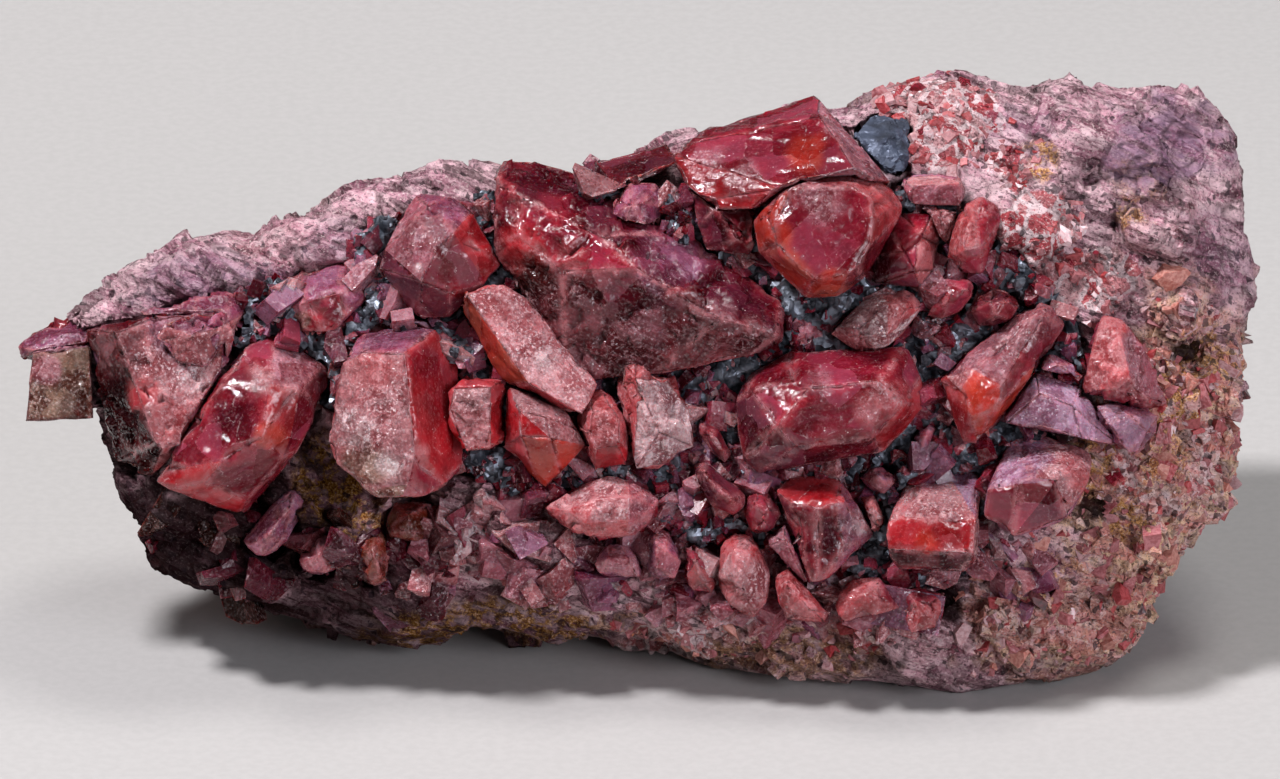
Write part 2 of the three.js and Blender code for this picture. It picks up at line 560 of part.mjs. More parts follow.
const COLOURS = {
  gem: 0x9c1a22,
  wine: 0x5c1420,
  magenta: 0x98152c,
  mauve: 0x7a3243,
  rose: 0xa65a60,
  frosted: 0xc08580,
  salmon: 0xbe5148,
  stepped: 0xb8443f,
  violet: 0x9a6a86,
  tan: 0x9a6c50,
  amber: 0x7a3418,
  galena: 0x5b6270,
  matrix: 0x9b6068,
};

// ---------------------------------------------------------------- geometry helpers

// A repeatable random number from 0 to 1 (mulberry32).
function seeded(seed) {
  let state = seed;
  return () => {
    state = (state + 0x6d2b79f5) | 0;
    let t = Math.imul(state ^ (state >>> 15), 1 | state);
    t = (t + Math.imul(t ^ (t >>> 7), 61 | t)) ^ t;
    return ((t ^ (t >>> 14)) >>> 0) / 4294967296;
  };
}

// A point of the face's frame in the upright frame that the face is leant back from.
const onFace = (u, v, w) => new THREE.Vector3(u, -w, v);

// The value at u of a line through [u, value] points.
function along(line, u) {
  const next = line.findIndex(([at]) => at >= u);
  if (next === 0) return line[0][1];
  if (next < 0) return line[line.length - 1][1];
  const [u0, a] = line[next - 1];
  const [u1, b] = line[next];
  return a + ((b - a) * (u - u0)) / (u1 - u0);
}

// A closed BufferGeometry as a solid that can be joined and cut.
function solidOf(geometry) {
  const bare = geometry.index ? geometry.toNonIndexed() : geometry.clone();
  bare.deleteAttribute("normal");
  bare.deleteAttribute("uv");
  const merged = mergeVertices(bare, 1e-4);
  return new wasm.Manifold(
    new wasm.Mesh({
      numProp: 3,
      vertProperties: new Float32Array(merged.attributes.position.array),
      triVerts: new Uint32Array(merged.index.array),
    }),
  );
}

// A solid as a BufferGeometry.
function geometryOf(solid) {
  const { vertProperties, triVerts, numProp, numVert } = solid.getMesh();
  const positions = new Float32Array(numVert * 3);
  for (let i = 0; i < numVert; i++) {
    positions.set(vertProperties.subarray(i * numProp, i * numProp + 3), i * 3);
  }
  const geometry = new THREE.BufferGeometry();
  geometry.setAttribute("position", new THREE.BufferAttribute(positions, 3));
  geometry.setIndex(new THREE.BufferAttribute(new Uint32Array(triVerts), 1));
  geometry.computeVertexNormals();
  return geometry;
}

const union = (solids) => wasm.Manifold.union(solids);

// The largest of the bodies that a cut leaves.
const largest = (solid) =>
  solid.decompose().reduce((a, b) => (b.volume() > a.volume() ? b : a));

// A convex crystal's points: its exposed corners, and its buried end, its outline drawn in and set deep.
function crystalPoints({ corners, root }) {
  const exposed = corners.map(([u, v, w]) => onFace(u, v, w));
  const sum = exposed.reduce((total, p) => total.add(p), new THREE.Vector3());
  const middle = sum.divideScalar(exposed.length);
  const buried = [];
  for (let i = 0; i < ROOT_SIDES; i++) {
    const turn = (2 * Math.PI * i) / ROOT_SIDES;
    const way = new THREE.Vector3(Math.cos(turn), 0, Math.sin(turn));
    const edge = exposed.reduce((a, b) => (b.dot(way) > a.dot(way) ? b : a));
    const [x, z] = ["x", "z"].map((axis) => THREE.MathUtils.lerp(middle[axis], edge[axis], ROOT_SHARE));
    buried.push(new THREE.Vector3(x, -root, z));
  }
  return [...exposed, ...buried];
}

// The flat faces of the hull of some points, each { normal, reach }: facets that nearly agree are one.
function flatFaces(points, spread) {
  const hull = new ConvexGeometry(points).attributes.position;
  const facets = [];
  for (let i = 0; i < hull.count; i += 3) {
    const [a, b, c] = [0, 1, 2].map((k) => new THREE.Vector3().fromBufferAttribute(hull, i + k));
    const facet = new THREE.Triangle(a, b, c);
    const normal = facet.getNormal(new THREE.Vector3());
    facets.push({ normal, area: facet.getArea(), middle: facet.getMidpoint(new THREE.Vector3()) });
  }
  facets.sort((a, b) => b.area - a.area);
  const faces = [];
  while (facets.length) {
    const lead = facets[0].normal;
    const group = facets.filter((f) => f.normal.angleTo(lead) < spread);
    group.forEach((f) => facets.splice(facets.indexOf(f), 1));
    const area = group.reduce((sum, f) => sum + f.area, 0);
    const normal = new THREE.Vector3();
    group.forEach((f) => normal.addScaledVector(f.normal, f.area));
    normal.normalize();
    const mean = group.reduce((sum, f) => sum + (f.area * f.middle.dot(normal)) / area, 0);
    const most = Math.max(...points.map((p) => p.dot(normal)));
    faces.push({ normal, reach: THREE.MathUtils.lerp(mean, most, FACE_SWELL) });
  }
  return faces;
}

// The corners of the convex solid that lies inside all of some faces, each moved out by `by`.
function cornersWithin(faces, by) {
  const corners = [];
  for (let i = 0; i < faces.length; i++) {
    for (let j = i + 1; j < faces.length; j++) {
      const line = new THREE.Vector3().crossVectors(faces[i].normal, faces[j].normal);
      if (line.length() < 0.02) continue;
      for (let k = j + 1; k < faces.length; k++) {
        const scale = line.dot(faces[k].normal);
        if (Math.abs(scale) < 0.004) continue;
        const others = [
          [faces[j].normal, faces[k].normal, faces[i].reach],
          [faces[k].normal, faces[i].normal, faces[j].reach],
        ];
        const corner = line.clone().multiplyScalar(faces[k].reach + by);
        others.forEach(([a, b, reach]) => {
          corner.addScaledVector(new THREE.Vector3().crossVectors(a, b), reach + by);
        });
        corner.divideScalar(scale);
        if (!faces.every((f) => f.normal.dot(corner) < f.reach + by + 1e-6)) continue;
        if (corners.every((other) => other.distanceTo(corner) > LEAST_EDGE)) corners.push(corner);
      }
    }
  }
  return corners;
}

const hullSolid = (points) => solidOf(new ConvexGeometry(points));

// A cleavage fragment: a box with its corners cut back and sheared a little, turned and centred on `at`.
function fragment(at, size, turn, random) {
  const shear = 0.35 * (random() - 0.5);
  const points = [];
  for (const x of [-1, 1]) {
    for (const y of [-1, 1]) {
      for (const z of [-1, 1]) {
        const trim = 0.72 + 0.28 * random();
        const corner = new THREE.Vector3(x * trim + shear * y, y * trim, z * trim);
        points.push(corner.multiply(size).applyQuaternion(turn).add(at));
      }
    }
  }
  return hullSolid(points);
}

// ---------------------------------------------------------------- the massive rhodonite

// One corner of the cross-section at u. `turn` runs round the section: 0 faces out of the crystal face.
function sectionPoint(u, turn) {
  const [top, bottom] = [along(UPPER_EDGE, u), along(LOWER_EDGE, u)];
  const round = (x) => Math.sign(x) * Math.abs(x) ** (2 / SQUARENESS);
  const v = (top + bottom) / 2 + ((top - bottom) / 2) * round(Math.sin(turn));
  const share = (v - bottom) / (top - bottom);
  const edge = THREE.MathUtils.lerp(along(LOWER_DEPTH, u), along(UPPER_DEPTH, u), share);
  const out = round(Math.cos(turn));
  const reach = out > 0 ? along(FRONT_LEVEL, u) - edge : edge - along(BACK_LEVEL, u);
  return onFace(u, v, edge + out * reach);
}

// Where along u the cross-sections are: at the outline's own corners, where they aren't crowded.
function sectionPlaces() {
  const corners = [...UPPER_EDGE, ...LOWER_EDGE].map(([u]) => u).sort((a, b) => a - b);
  const spread = corners.filter((u) => u < END_PLACES[0] - SECTION_STEP / 2);
  const kept = [];
  spread.forEach((u) => {
    if (!kept.length || u - kept[kept.length - 1] >= SECTION_STEP) kept.push(u);
  });
  return [...kept, ...END_PLACES];
}

// The lofted body.
function loftedBody() {
  const places = sectionPlaces();
  const count = places.length - 1;
  const corners = [];
  places.forEach((u) => {
    for (let k = 0; k < SECTION_SIDES; k++) {
      corners.push(sectionPoint(u, (2 * Math.PI * k) / SECTION_SIDES));
    }
  });
  const middleOf = (i) =>
    corners
      .slice(i * SECTION_SIDES, (i + 1) * SECTION_SIDES)
      .reduce((sum, p) => sum.add(p), new THREE.Vector3())
      .divideScalar(SECTION_SIDES);
  corners.push(middleOf(0), middleOf(count));
  const faces = [];
  const at = (i, k) => i * SECTION_SIDES + (k % SECTION_SIDES);
  for (let i = 0; i < count; i++) {
    for (let k = 0; k < SECTION_SIDES; k++) {
      faces.push(at(i, k), at(i + 1, k), at(i + 1, k + 1), at(i, k), at(i + 1, k + 1), at(i, k + 1));
    }
  }
  for (let k = 0; k < SECTION_SIDES; k++) {
    faces.push(corners.length - 2, at(0, k), at(0, k + 1));
    faces.push(corners.length - 1, at(count, k + 1), at(count, k));
  }
  const geometry = new THREE.BufferGeometry().setFromPoints(corners);
  geometry.setIndex(faces);
  const solid = solidOf(geometry);
  return solid.volume() > 0 ? solid : solidOf(flipped(geometry));
}

// The same surface with its faces turned round.
function flipped(geometry) {
  const index = geometry.index.array;
  for (let i = 0; i < index.length; i += 3) {
    [index[i + 1], index[i + 2]] = [index[i + 2], index[i + 1]];
  }
  return geometry;
}

// The turn round the section at u at which the body's front is at height v.
function frontTurn(u, v) {
  const [top, bottom] = [along(UPPER_EDGE, u), along(LOWER_EDGE, u)];
  const share = THREE.MathUtils.clamp((2 * v - top - bottom) / (top - bottom), -1, 1);
  return Math.asin(Math.sign(share) * Math.abs(share) ** (SQUARENESS / 2));
}

// A frame on the body's skin: where it is, and turns that carry +Z to the skin's outward direction.
function skinFrame(u, turn) {
  const at = sectionPoint(u, turn);
  const step = 0.04;
  const round = sectionPoint(u, turn + step).sub(sectionPoint(u, turn - step));
  const length = sectionPoint(u + 1, turn).sub(sectionPoint(u - 1, turn));
  const outward = length.cross(round).normalize();
  const middle = (along(UPPER_EDGE, u) + along(LOWER_EDGE, u)) / 2;
  const away = at.clone().sub(onFace(u, middle, along(LOWER_DEPTH, u)));
  if (outward.dot(away) < 0) outward.negate();
  return { at, upright: new THREE.Quaternion().setFromUnitVectors(new THREE.Vector3(0, 0, 1), outward) };
}

// A turn about the outward direction, with a tilt of at most `tilt` away from it.
function randomTurn(random, tilt) {
  const lean = new THREE.Euler(tilt * (2 * random() - 1), tilt * (2 * random() - 1), 0);
  const spin = new THREE.Euler(0, 0, Math.PI * random());
  return new THREE.Quaternion().setFromEuler(lean).multiply(new THREE.Quaternion().setFromEuler(spin));
}

// The edge that shows against the background, which the chips leave whole.
const RIM = [UPPER_EDGE, LOWER_EDGE].flatMap((edge, i) =>
  edge.map(([u, v]) => onFace(u, v, along(i ? LOWER_DEPTH : UPPER_DEPTH, u))),
);

// The block that a blow takes off the body: its lower face is the flat cleavage that is left.
function chip({ at, upright }, half, depth, tilt, random) {
  const turn = upright.clone().multiply(randomTurn(random, tilt));
  const [a, b] = [half * (0.8 + 0.8 * random()), half * (0.6 + 0.5 * random())];
  const local = (p) => p.clone().sub(at).applyQuaternion(turn.clone().invert());
  const reach = RIM.map(local).filter((p) => Math.abs(p.x) < a + 1 && Math.abs(p.y) < b + 1);
  const level = Math.max(-depth, ...reach.map((p) => p.z + 0.15));
  const block = new THREE.BoxGeometry(2 * a, 2 * b, 16).translate(0, 0, 8 + level);
  return solidOf(block.applyQuaternion(turn).translate(at.x, at.y, at.z));
}

// Chips broken off the body: [u from, u to, turn from, turn to in degrees, how many, half-size, depth, tilt].
const CHIPPED = [
  [-60, 66, 100, 260, 17, 14, 2.8, 0.22],
  [-50, 60, 200, 262, 6, 10, 2.4, 0.22],
  [-56, 64, 60, 100, 6, 7.5, 1.4, 0.2],
];

// Ledges on the front: [u from, u to, v from, v to, how many, half-size, depth, tilt].
const LEDGED = [
  [42, 66, 47, 66, 5, 5.5, 1.5, 0.3],
  [53, 66, 24, 46, 3, 5, 1.5, 0.3],
  [36, 60, 6, 18, 3, 5, 1.4, 0.3],
  [-56, -34, 45, 54, 3, 4.8, 1.4, 0.3],
  [-52, -20, 10, 24, 4, 5.5, 1.6, 0.35],
];

// Blocks that stand out of the skin: [u from, u to, v from, v to, how many, half-size, how proud, tilt].
const KNOBBLED = [
  [42, 64, 46, 66, 8, 3.6, 1.1, 0.4],
  [57, 66, 20, 45, 5, 3.4, 1, 0.4],
  [40, 59, 6, 18, 5, 3.2, 1, 0.4],
  [-57, -37, 46, 52, 4, 3.4, 0.9, 0.4],
  [-51, -36, 11, 24, 5, 3.4, 1.3, 0.45],
  [-35, -8, 9, 22, 8, 3.6, 1.5, 0.45],
  [-10, 34, 4.5, 11, 6, 3, 1.1, 0.4],
];

// Pits in the skin: [u, v, half-width, half-height, depth].
const PITS = [
  [35.6, 10.4, 1.5, 2.4, 3.4], [52.2, 21.4, 1.6, 1.4, 2.6], [63.2, 39.4, 1.7, 1.3, 2.6],
  [-6.4, 16.4, 1.5, 1.3, 2.6], [16.2, 9.2, 1.2, 1, 2], [-33.6, 18, 1, 3.2, 2.8],
  [-35.8, 12.6, 1.1, 2.6, 2.6], [-46.6, 22.4, 2.4, 1.2, 2.4],
];

// A block that stands `proud` of the skin.
function blockOnSkin(frame, half, proud, tilt, random) {
  const turn = frame.upright.clone().multiply(randomTurn(random, tilt));
  const size = new THREE.Vector3(half * (0.8 + 0.7 * random()), half * (0.6 + 0.5 * random()), 2.4);
  const sunk = new THREE.Vector3(0, 0, proud - size.z).applyQuaternion(frame.upright);
  return fragment(frame.at.clone().add(sunk), size, turn, random);
}

// Visits random places in an area, whose first five numbers are its limits and how many places.
function eachIn(area, visit) {
  const [a0, a1, b0, b1, count] = area;
  const random = seeded(Math.round(31 * (a0 + 100) + b0 + 7 * count));
  for (let i = 0; i < count; i++) {
    visit(THREE.MathUtils.lerp(a0, a1, random()), THREE.MathUtils.lerp(b0, b1, random()), random);
  }
}

// The massive rhodonite before the crystals' places are cut in it.
function massiveBody() {
  const added = [loftedBody()];
  const removed = [];
  KNOBBLED.forEach((area) => {
    const [half, proud, tilt] = area.slice(5);
    eachIn(area, (u, v, random) => {
      added.push(blockOnSkin(skinFrame(u, frontTurn(u, v)), half, proud, tilt, random));
    });
  });
  CHIPPED.forEach((area) => {
    const [half, depth, tilt] = area.slice(5);
    eachIn(area, (u, degrees, random) => {
      removed.push(chip(skinFrame(u, THREE.MathUtils.degToRad(degrees)), half, depth, tilt, random));
    });
  });
  LEDGED.forEach((area) => {
    const [half, depth, tilt] = area.slice(5);
    eachIn(area, (u, v, random) => {
      removed.push(chip(skinFrame(u, frontTurn(u, v)), half, depth, tilt, random));
    });
  });
  const random = seeded(3);
  PITS.forEach(([u, v, a, b, depth]) => {
    const { at, upright } = skinFrame(u, frontTurn(u, v));
    removed.push(fragment(at, new THREE.Vector3(a, b, depth), upright, random));
  });
  const [body, ...blocks] = added;
  return union([body.subtract(union(removed.slice(0, -PITS.length))), ...blocks]).subtract(
    union(removed.slice(-PITS.length)),
  );
}

// ---------------------------------------------------------------- the galena pocket

// A closed outline with every side moved out by `by`.
function offsetOutline(outline, by) {
  const at = (i) => new THREE.Vector2(...outline[(i + outline.length) % outline.length]);
  const outward = THREE.ShapeUtils.area(outline.map(([x, y]) => ({ x, y }))) > 0 ? 1 : -1;
  const sideNormal = (i) => {
    const side = at(i + 1).sub(at(i)).normalize();
    return new THREE.Vector2(side.y, -side.x).multiplyScalar(outward);
  };
  return outline.map((_, i) => {
    const [before, after] = [sideNormal(i - 1), sideNormal(i)];
    const middle = before.clone().add(after).normalize();
    return at(i).addScaledVector(middle, by / Math.max(middle.dot(after), 0.5));
  });
}

// The pocket's outline, moved out by `by`, extruded from `floor` to `face`.
function pocketSolid(by, floor, face) {
  const shape = new THREE.Shape(offsetOutline(GALENA_EDGE, by));
  const geometry = new THREE.ExtrudeGeometry(shape, { depth: face - floor, bevelEnabled: false });
  geometry.translate(0, 0, floor);
  geometry.rotateX(Math.PI / 2);
  return solidOf(geometry);
}

// Cubes of galena that stand out of the pocket's face.
function galenaCubes() {
  const random = seeded(23);
  const cubes = [];
  for (let i = 0; i < 18; i++) {
    const u = THREE.MathUtils.lerp(-42, 50, random());
    const v = THREE.MathUtils.lerp(19, 56, random());
    const half = 1.6 + 1.6 * random();
    const geometry = new THREE.BoxGeometry(2 * half, 2 * half, 2 * half);
    geometry.applyQuaternion(randomTurn(random, 0.7));
    geometry.rotateX(Math.PI / 2);
    geometry.translate(u, -(GALENA_FACE - 0.75 * half), v);
    cubes.push(solidOf(geometry));
  }
  return cubes;
}

// ---------------------------------------------------------------- assembly

// Every solid, in the upright frame.
function build() {
  const placed = [];
  const sockets = [];
  const settle = (name, finish, points) => {
    const faces = flatFaces(points, FACE_SPREAD);
    const solid = hullSolid(cornersWithin(faces, 0));
    placed.push({ name, finish, solid: sockets.length ? largest(solid.subtract(union(sockets))) : solid });
    sockets.push(hullSolid(cornersWithin(faces, GAP)));
  };
  CRYSTALS.forEach((crystal) => settle(crystal.name, crystal.finish, crystalPoints(crystal)));
  settle("galena_block", "galena", crystalPoints({ corners: GALENA_BLOCK, root: GALENA_BLOCK_ROOT }));
  const allSockets = union(sockets);

  const pocket = pocketSolid(0, GALENA_FLOOR, GALENA_FACE);
  const cubes = union(galenaCubes()).intersect(pocketSolid(-1, GALENA_FLOOR, 4));
  const fill = largest(union([pocket, cubes]).subtract(allSockets));
  placed.push({ name: "galena_fill", finish: "galena", solid: fill });

  const rough = massiveBody();
  const pocketSocket = pocketSolid(GAP * 1.4, GALENA_FLOOR - GAP, 20);
  placed.unshift({
    name: "massive_rhodonite",
    finish: "matrix",
    solid: largest(rough.subtract(pocketSocket).subtract(allSockets)),
  });
  return placed;
}

// The specimen leant back, and broken off flat below.
const lean = new THREE.Matrix4().makeRotationX(-FACE_LEAN);
const below = new THREE.BoxGeometry(400, 400, 200).translate(0, 0, BASE_CUT - 100);
const belowBase = solidOf(below);
const leant = build().map(({ name, finish, solid }) => ({
  name,
  finish,
  solid: solid.transform(lean.elements).subtract(belowBase),
}));

const specimen = new THREE.Group();
const box = new THREE.Box3();
leant.forEach(({ name, finish, solid }) => {
  const material = new THREE.MeshStandardMaterial({
    color: COLOURS[finish],
    roughness: finish === "galena" ? 0.35 : 0.45,
    metalness: finish === "galena" ? 0.9 : 0,
  });
  const mesh = new THREE.Mesh(geometryOf(solid), material);
  mesh.name = name;
  mesh.geometry.computeBoundingBox();
  box.union(mesh.geometry.boundingBox);
  specimen.add(mesh);
});
const middle = box.getCenter(new THREE.Vector3());
specimen.position.set(-middle.x, -middle.y, -box.min.z);

export default specimen;
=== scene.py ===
"""A cabinet specimen of rhodonite: glassy and frosted red crystals in grey galena, on a mass of rose stone.

Metres, +Z up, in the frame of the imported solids. The crystal-bearing face leans back from the vertical, and
places on it are u, v, w in millimetres: u along the specimen, v up the slope of the face, w out of it.
"""

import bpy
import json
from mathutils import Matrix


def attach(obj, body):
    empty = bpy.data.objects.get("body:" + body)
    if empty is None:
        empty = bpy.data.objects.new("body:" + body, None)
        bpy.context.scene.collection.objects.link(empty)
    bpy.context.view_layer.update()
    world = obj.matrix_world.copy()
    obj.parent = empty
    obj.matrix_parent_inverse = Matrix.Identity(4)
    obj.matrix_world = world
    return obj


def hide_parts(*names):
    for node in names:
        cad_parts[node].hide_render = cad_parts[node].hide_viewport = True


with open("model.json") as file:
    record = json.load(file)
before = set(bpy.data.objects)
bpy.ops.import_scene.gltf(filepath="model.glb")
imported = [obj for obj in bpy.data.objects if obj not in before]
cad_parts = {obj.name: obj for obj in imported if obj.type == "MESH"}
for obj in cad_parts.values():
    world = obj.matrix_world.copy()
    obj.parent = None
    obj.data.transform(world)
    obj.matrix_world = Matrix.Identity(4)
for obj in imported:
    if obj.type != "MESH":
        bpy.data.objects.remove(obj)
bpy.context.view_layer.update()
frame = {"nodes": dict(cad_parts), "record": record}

import json
import logging
import math
from dataclasses import dataclass, field, replace
from enum import Enum
from typing import Callable

import bmesh
import bpy
import numpy as np
from mathutils import Vector, bvhtree, kdtree

log = logging.getLogger("rhodonite")

MM = 0.001
MM_A_CM = 10
BODY = "root"
FACE_LEAN = math.radians(25)
FACE_ORIGIN = Vector((0.046, -30.0, 3.4))  # where u, v and w are 0, in the row frame and in mm
BACK_DEPTH, FRONT_DEPTH = -26.0, -14.0  # the w, in mm, between which the back's stains give way to the face's
FOLIATION = math.radians(24)  # how far the stone's grain dips along the face
RHODONITE_IOR = 1.73

# A Value is what a shader input takes: see add_node.
Array = np.ndarray
Socket = bpy.types.NodeSocket
Colour = tuple[float, float, float, float]
Value = Socket | tuple[Socket | float, ...] | str | float


# ------------------------------------------------------------------------------- frames and colours


def from_face(u: float, v: float, w: float) -> Vector:
    """Turns a place on the face into the row frame.

    Args:
        u: distance along the specimen, in mm.
        v: distance up the slope of the face, in mm.
        w: distance out of the face, in mm.

    Returns:
        The place in metres.
    """
    sine, cosine = math.sin(FACE_LEAN), math.cos(FACE_LEAN)
    return (Vector((u, v * sine - w * cosine, v * cosine + w * sine)) + FACE_ORIGIN) * MM


def to_face(points: Array) -> Array:
    """Turns row-frame points, in mm, into u, v, w.

    Args:
        points: an array of shape (n, 3).

    Returns:
        An array of the same shape.
    """
    sine, cosine = math.sin(FACE_LEAN), math.cos(FACE_LEAN)
    x, y, z = (points - np.array(FACE_ORIGIN)).T
    return np.stack([x, y * sine + z * cosine, z * sine - y * cosine], 1)


OUTWARD = np.array(from_face(0, 0, 1) - from_face(0, 0, 0)) / MM  # the direction that the face looks in


def linear(hex_colour: str) -> Colour:
    """Turns an sRGB hex colour to a linear one with full alpha."""
    parts = [int(hex_colour[i : i + 2], 16) / 255 for i in (1, 3, 5)]
    return (*[c / 12.92 if c <= 0.04045 else ((c + 0.055) / 1.055) ** 2.4 for c in parts], 1.0)


class Tone(Enum):
    """The looks that a face or a grain can have: sRGB colour, and how frosted it is from 0, glassy, to 1."""

    PALE = ("#E0C4C6", 0.95)
    HOAR = ("#B89092", 1.0)
    PEACH = ("#B67C70", 0.85)
    FROST = ("#AC6A6E", 0.85)
    SALMON = ("#AC484C", 0.5)
    ROSE = ("#984E5C", 0.65)
    SCARLET = ("#AE2028", 0.1)
    ORANGE = ("#C43A22", 0.12)
    CRIMSON = ("#82142A", 0.12)
    WINE = ("#4C0A1A", 0.15)
    RUSSET = ("#5A2228", 0.5)
    MAUVE = ("#7A3A58", 0.4)
    VIOLET = ("#9A708E", 0.55)
    TAN = ("#6E4A38", 0.75)
    AMBER = ("#602C14", 0.3)
    BROWN = ("#2A110C", 0.4)
    SLATE = ("#5C6068", 0.6)
    # A near-black tone of painted shade, for faces turned from the light.
    PAINTED_SHADE = ("#1C0507", 0.2)
    UMBER = ("#5E3C2A", 0.6)

    @property
    def colour(self) -> Colour:
        """The tone's linear colour."""
        return linear(self.value[0])

    @property
    def frost(self) -> float:
        """How frosted the tone's surface is."""
        return self.value[1]


# ------------------------------------------------------------------------------ repeatable patterns


def hashed(cells: Array, seed: int) -> Array:
    """A repeatable random number from 0 to 1 for each whole-number cell.

    Args:
        cells: an integer array of shape (n, 3).
        seed: which pattern.

    Returns:
        An array of n numbers.
    """
    # Large odd numbers set neighbouring cells far apart, and the shifts mix their bits.
    low_32, low_24 = np.uint64(0xFFFFFFFF), np.uint64(0xFFFFFF)
    key = (cells[:, 0] * 73856093) ^ (cells[:, 1] * 19349663) ^ (cells[:, 2] * 83492791) ^ (seed * 668265263)
    mixed = (key & 0xFFFFFFFF).astype(np.uint64)
    for shift, factor in ((15, 2246822519), (13, 3266489917)):
        mixed = ((mixed ^ (mixed >> np.uint64(shift))) * np.uint64(factor)) & low_32
    return ((mixed ^ (mixed >> np.uint64(16))) & low_24).astype(float) / float(low_24)


def cloud(points: Array, cell: float, seed: int) -> Array:
    """Smooth noise from -1 to 1.

    Args:
        points: places in mm.
        cell: the size of its swells, in mm.
        seed: which pattern.

    Returns:
        One number a point.
    """
    scaled = points / cell
    base = np.floor(scaled).astype(np.int64)
    share = scaled - base
    share = share * share * (3 - 2 * share)
    total = np.zeros(len(points))
    for corner in range(8):
        step = np.array([corner & 1, corner >> 1 & 1, corner >> 2])
        total += np.prod(np.where(step, share, 1 - share), axis=1) * hashed(base + step, seed)
    return 2 * total - 1


@dataclass
class Facets:
    """A surface broken into flat cells: each point's relief, its cell's chance and how far its seam is."""

    relief: Array
    chance: Array
    seam: Array


def facets(points: Array, cell: float, level: float, tilt: float, seed: int) -> Facets:
    """Breaks a surface into flat cells, like cleavage, each with its own level and its own tilt.

    Args:
        points: places in mm.
        cell: the size of a cell, in mm.
        level: how far a cell may stand out or lie in, in mm.
        tilt: the slope that a cell may have.
        seed: which pattern.

    Returns:
        For each point its relief in mm, its cell's random number from 0 to 1, and how far the next cell is.
    """
    scaled = points / cell
    base = np.floor(scaled).astype(np.int64)
    count = len(points)
    nearest, second = np.full(count, 1e9), np.full(count, 1e9)
    away, owner = np.zeros((count, 3)), np.zeros((count, 3), np.int64)
    for i in range(27):
        cells = base + np.array([i % 3 - 1, i // 3 % 3 - 1, i // 9 - 1])
        centre = cells + np.stack([hashed(cells, seed + k) for k in (1, 2, 3)], 1)
        gap = scaled - centre
        distance = np.sqrt((gap * gap).sum(1))
        second = np.minimum(second, np.maximum(nearest, distance))
        closer = distance < nearest
        nearest = np.where(closer, distance, nearest)
        away[closer], owner[closer] = gap[closer], cells[closer]
    lean = np.stack([hashed(owner, seed + k) - 0.5 for k in (4, 5, 6)], 1)
    relief = level * (2 * hashed(owner, seed + 7) - 1) + 2 * tilt * cell * (lean * away).sum(1)
    return Facets(relief, hashed(owner, seed + 8), (second - nearest) * cell)


def ramp(values: Array, low: float, high: float) -> Array:
    """Goes smoothly from 0 at low to 1 at high."""
    share = np.clip((values - low) / (high - low), 0, 1)
    return share * share * (3 - 2 * share)


# ------------------------------------------------------------------------------------------- meshes


def read_rows(items: bpy.types.bpy_prop_collection, name: str, numbers: int = 3, kind: type = float) -> Array:
    """Reads one property of each of a mesh's parts.

    Args:
        items: the parts.
        name: the property.
        numbers: how many numbers a part holds of it.
        kind: the type of those numbers.

    Returns:
        All the numbers, three a row.
    """
    flat = np.zeros(len(items) * numbers, kind)
    items.foreach_get(name, flat)
    return flat.reshape(-1, 3)


def vertex_places(mesh: bpy.types.Mesh) -> Array:
    """The mesh's vertices, in mm."""
    return read_rows(mesh.vertices, "co") / MM


def vertex_normals(mesh: bpy.types.Mesh) -> Array:
    """The mesh's vertex normals."""
    return read_rows(mesh.vertex_normals, "vector")


def triangle_corners(mesh: bpy.types.Mesh) -> Array:
    """The vertex numbers of each triangle, as an array of shape (n, 3). The mesh holds triangles alone."""
    return read_rows(mesh.loops, "vertex_index", 1, np.int64)


def move_vertices(mesh: bpy.types.Mesh, points: Array) -> None:
    """Puts the mesh's vertices at points, in mm."""
    mesh.vertices.foreach_set("co", (points * MM).ravel())
    mesh.update()


def store_number(mesh: bpy.types.Mesh, name: str, values: Array, domain: str = "POINT") -> None:
    """Keeps one number a point or corner on the mesh, for its material to read."""
    mesh.attributes.new(name, "FLOAT", domain).data.foreach_set("value", values.astype(np.float32))


def store_look(mesh: bpy.types.Mesh, colours: Array, frosts: Array, uv: Array) -> None:
    """Keeps each corner's colour, frost and place on a map that runs along the faces, for the material.

    Args:
        mesh: the mesh.
        colours: linear colours with alpha, of shape (corners, 4).
        frosts: from 0, glassy, to 1 for each corner.
        uv: the map, in cm, two numbers a corner.
    """
    colour_layer = mesh.attributes.new("tint", "FLOAT_COLOR", "CORNER")
    colour_layer.data.foreach_set("color", colours.astype(np.float32).ravel())
    store_number(mesh, "frost", frosts, "CORNER")
    mesh.uv_layers.new(name="along_face").data.foreach_set("uv", uv.astype(np.float32).ravel())


def shade(mesh: bpy.types.Mesh, smooth: bool) -> None:
    """Shades all the mesh's faces smooth, or flat."""
    mesh.polygons.foreach_set("use_smooth", np.full(len(mesh.polygons), smooth))


def merged_copy(node: bpy.types.Object) -> bmesh.types.BMesh:
    """Copies a solid, with its loose triangles joined into flat many-sided faces.

    Args:
        node: the solid.

    Returns:
        A bmesh, for the caller to free.
    """
    shape = bmesh.new()
    shape.from_mesh(node.data)
    bmesh.ops.remove_doubles(shape, verts=shape.verts, dist=0.002 * MM)
    bmesh.ops.dissolve_limit(shape, angle_limit=math.radians(1.0), verts=shape.verts, edges=shape.edges)
    return shape


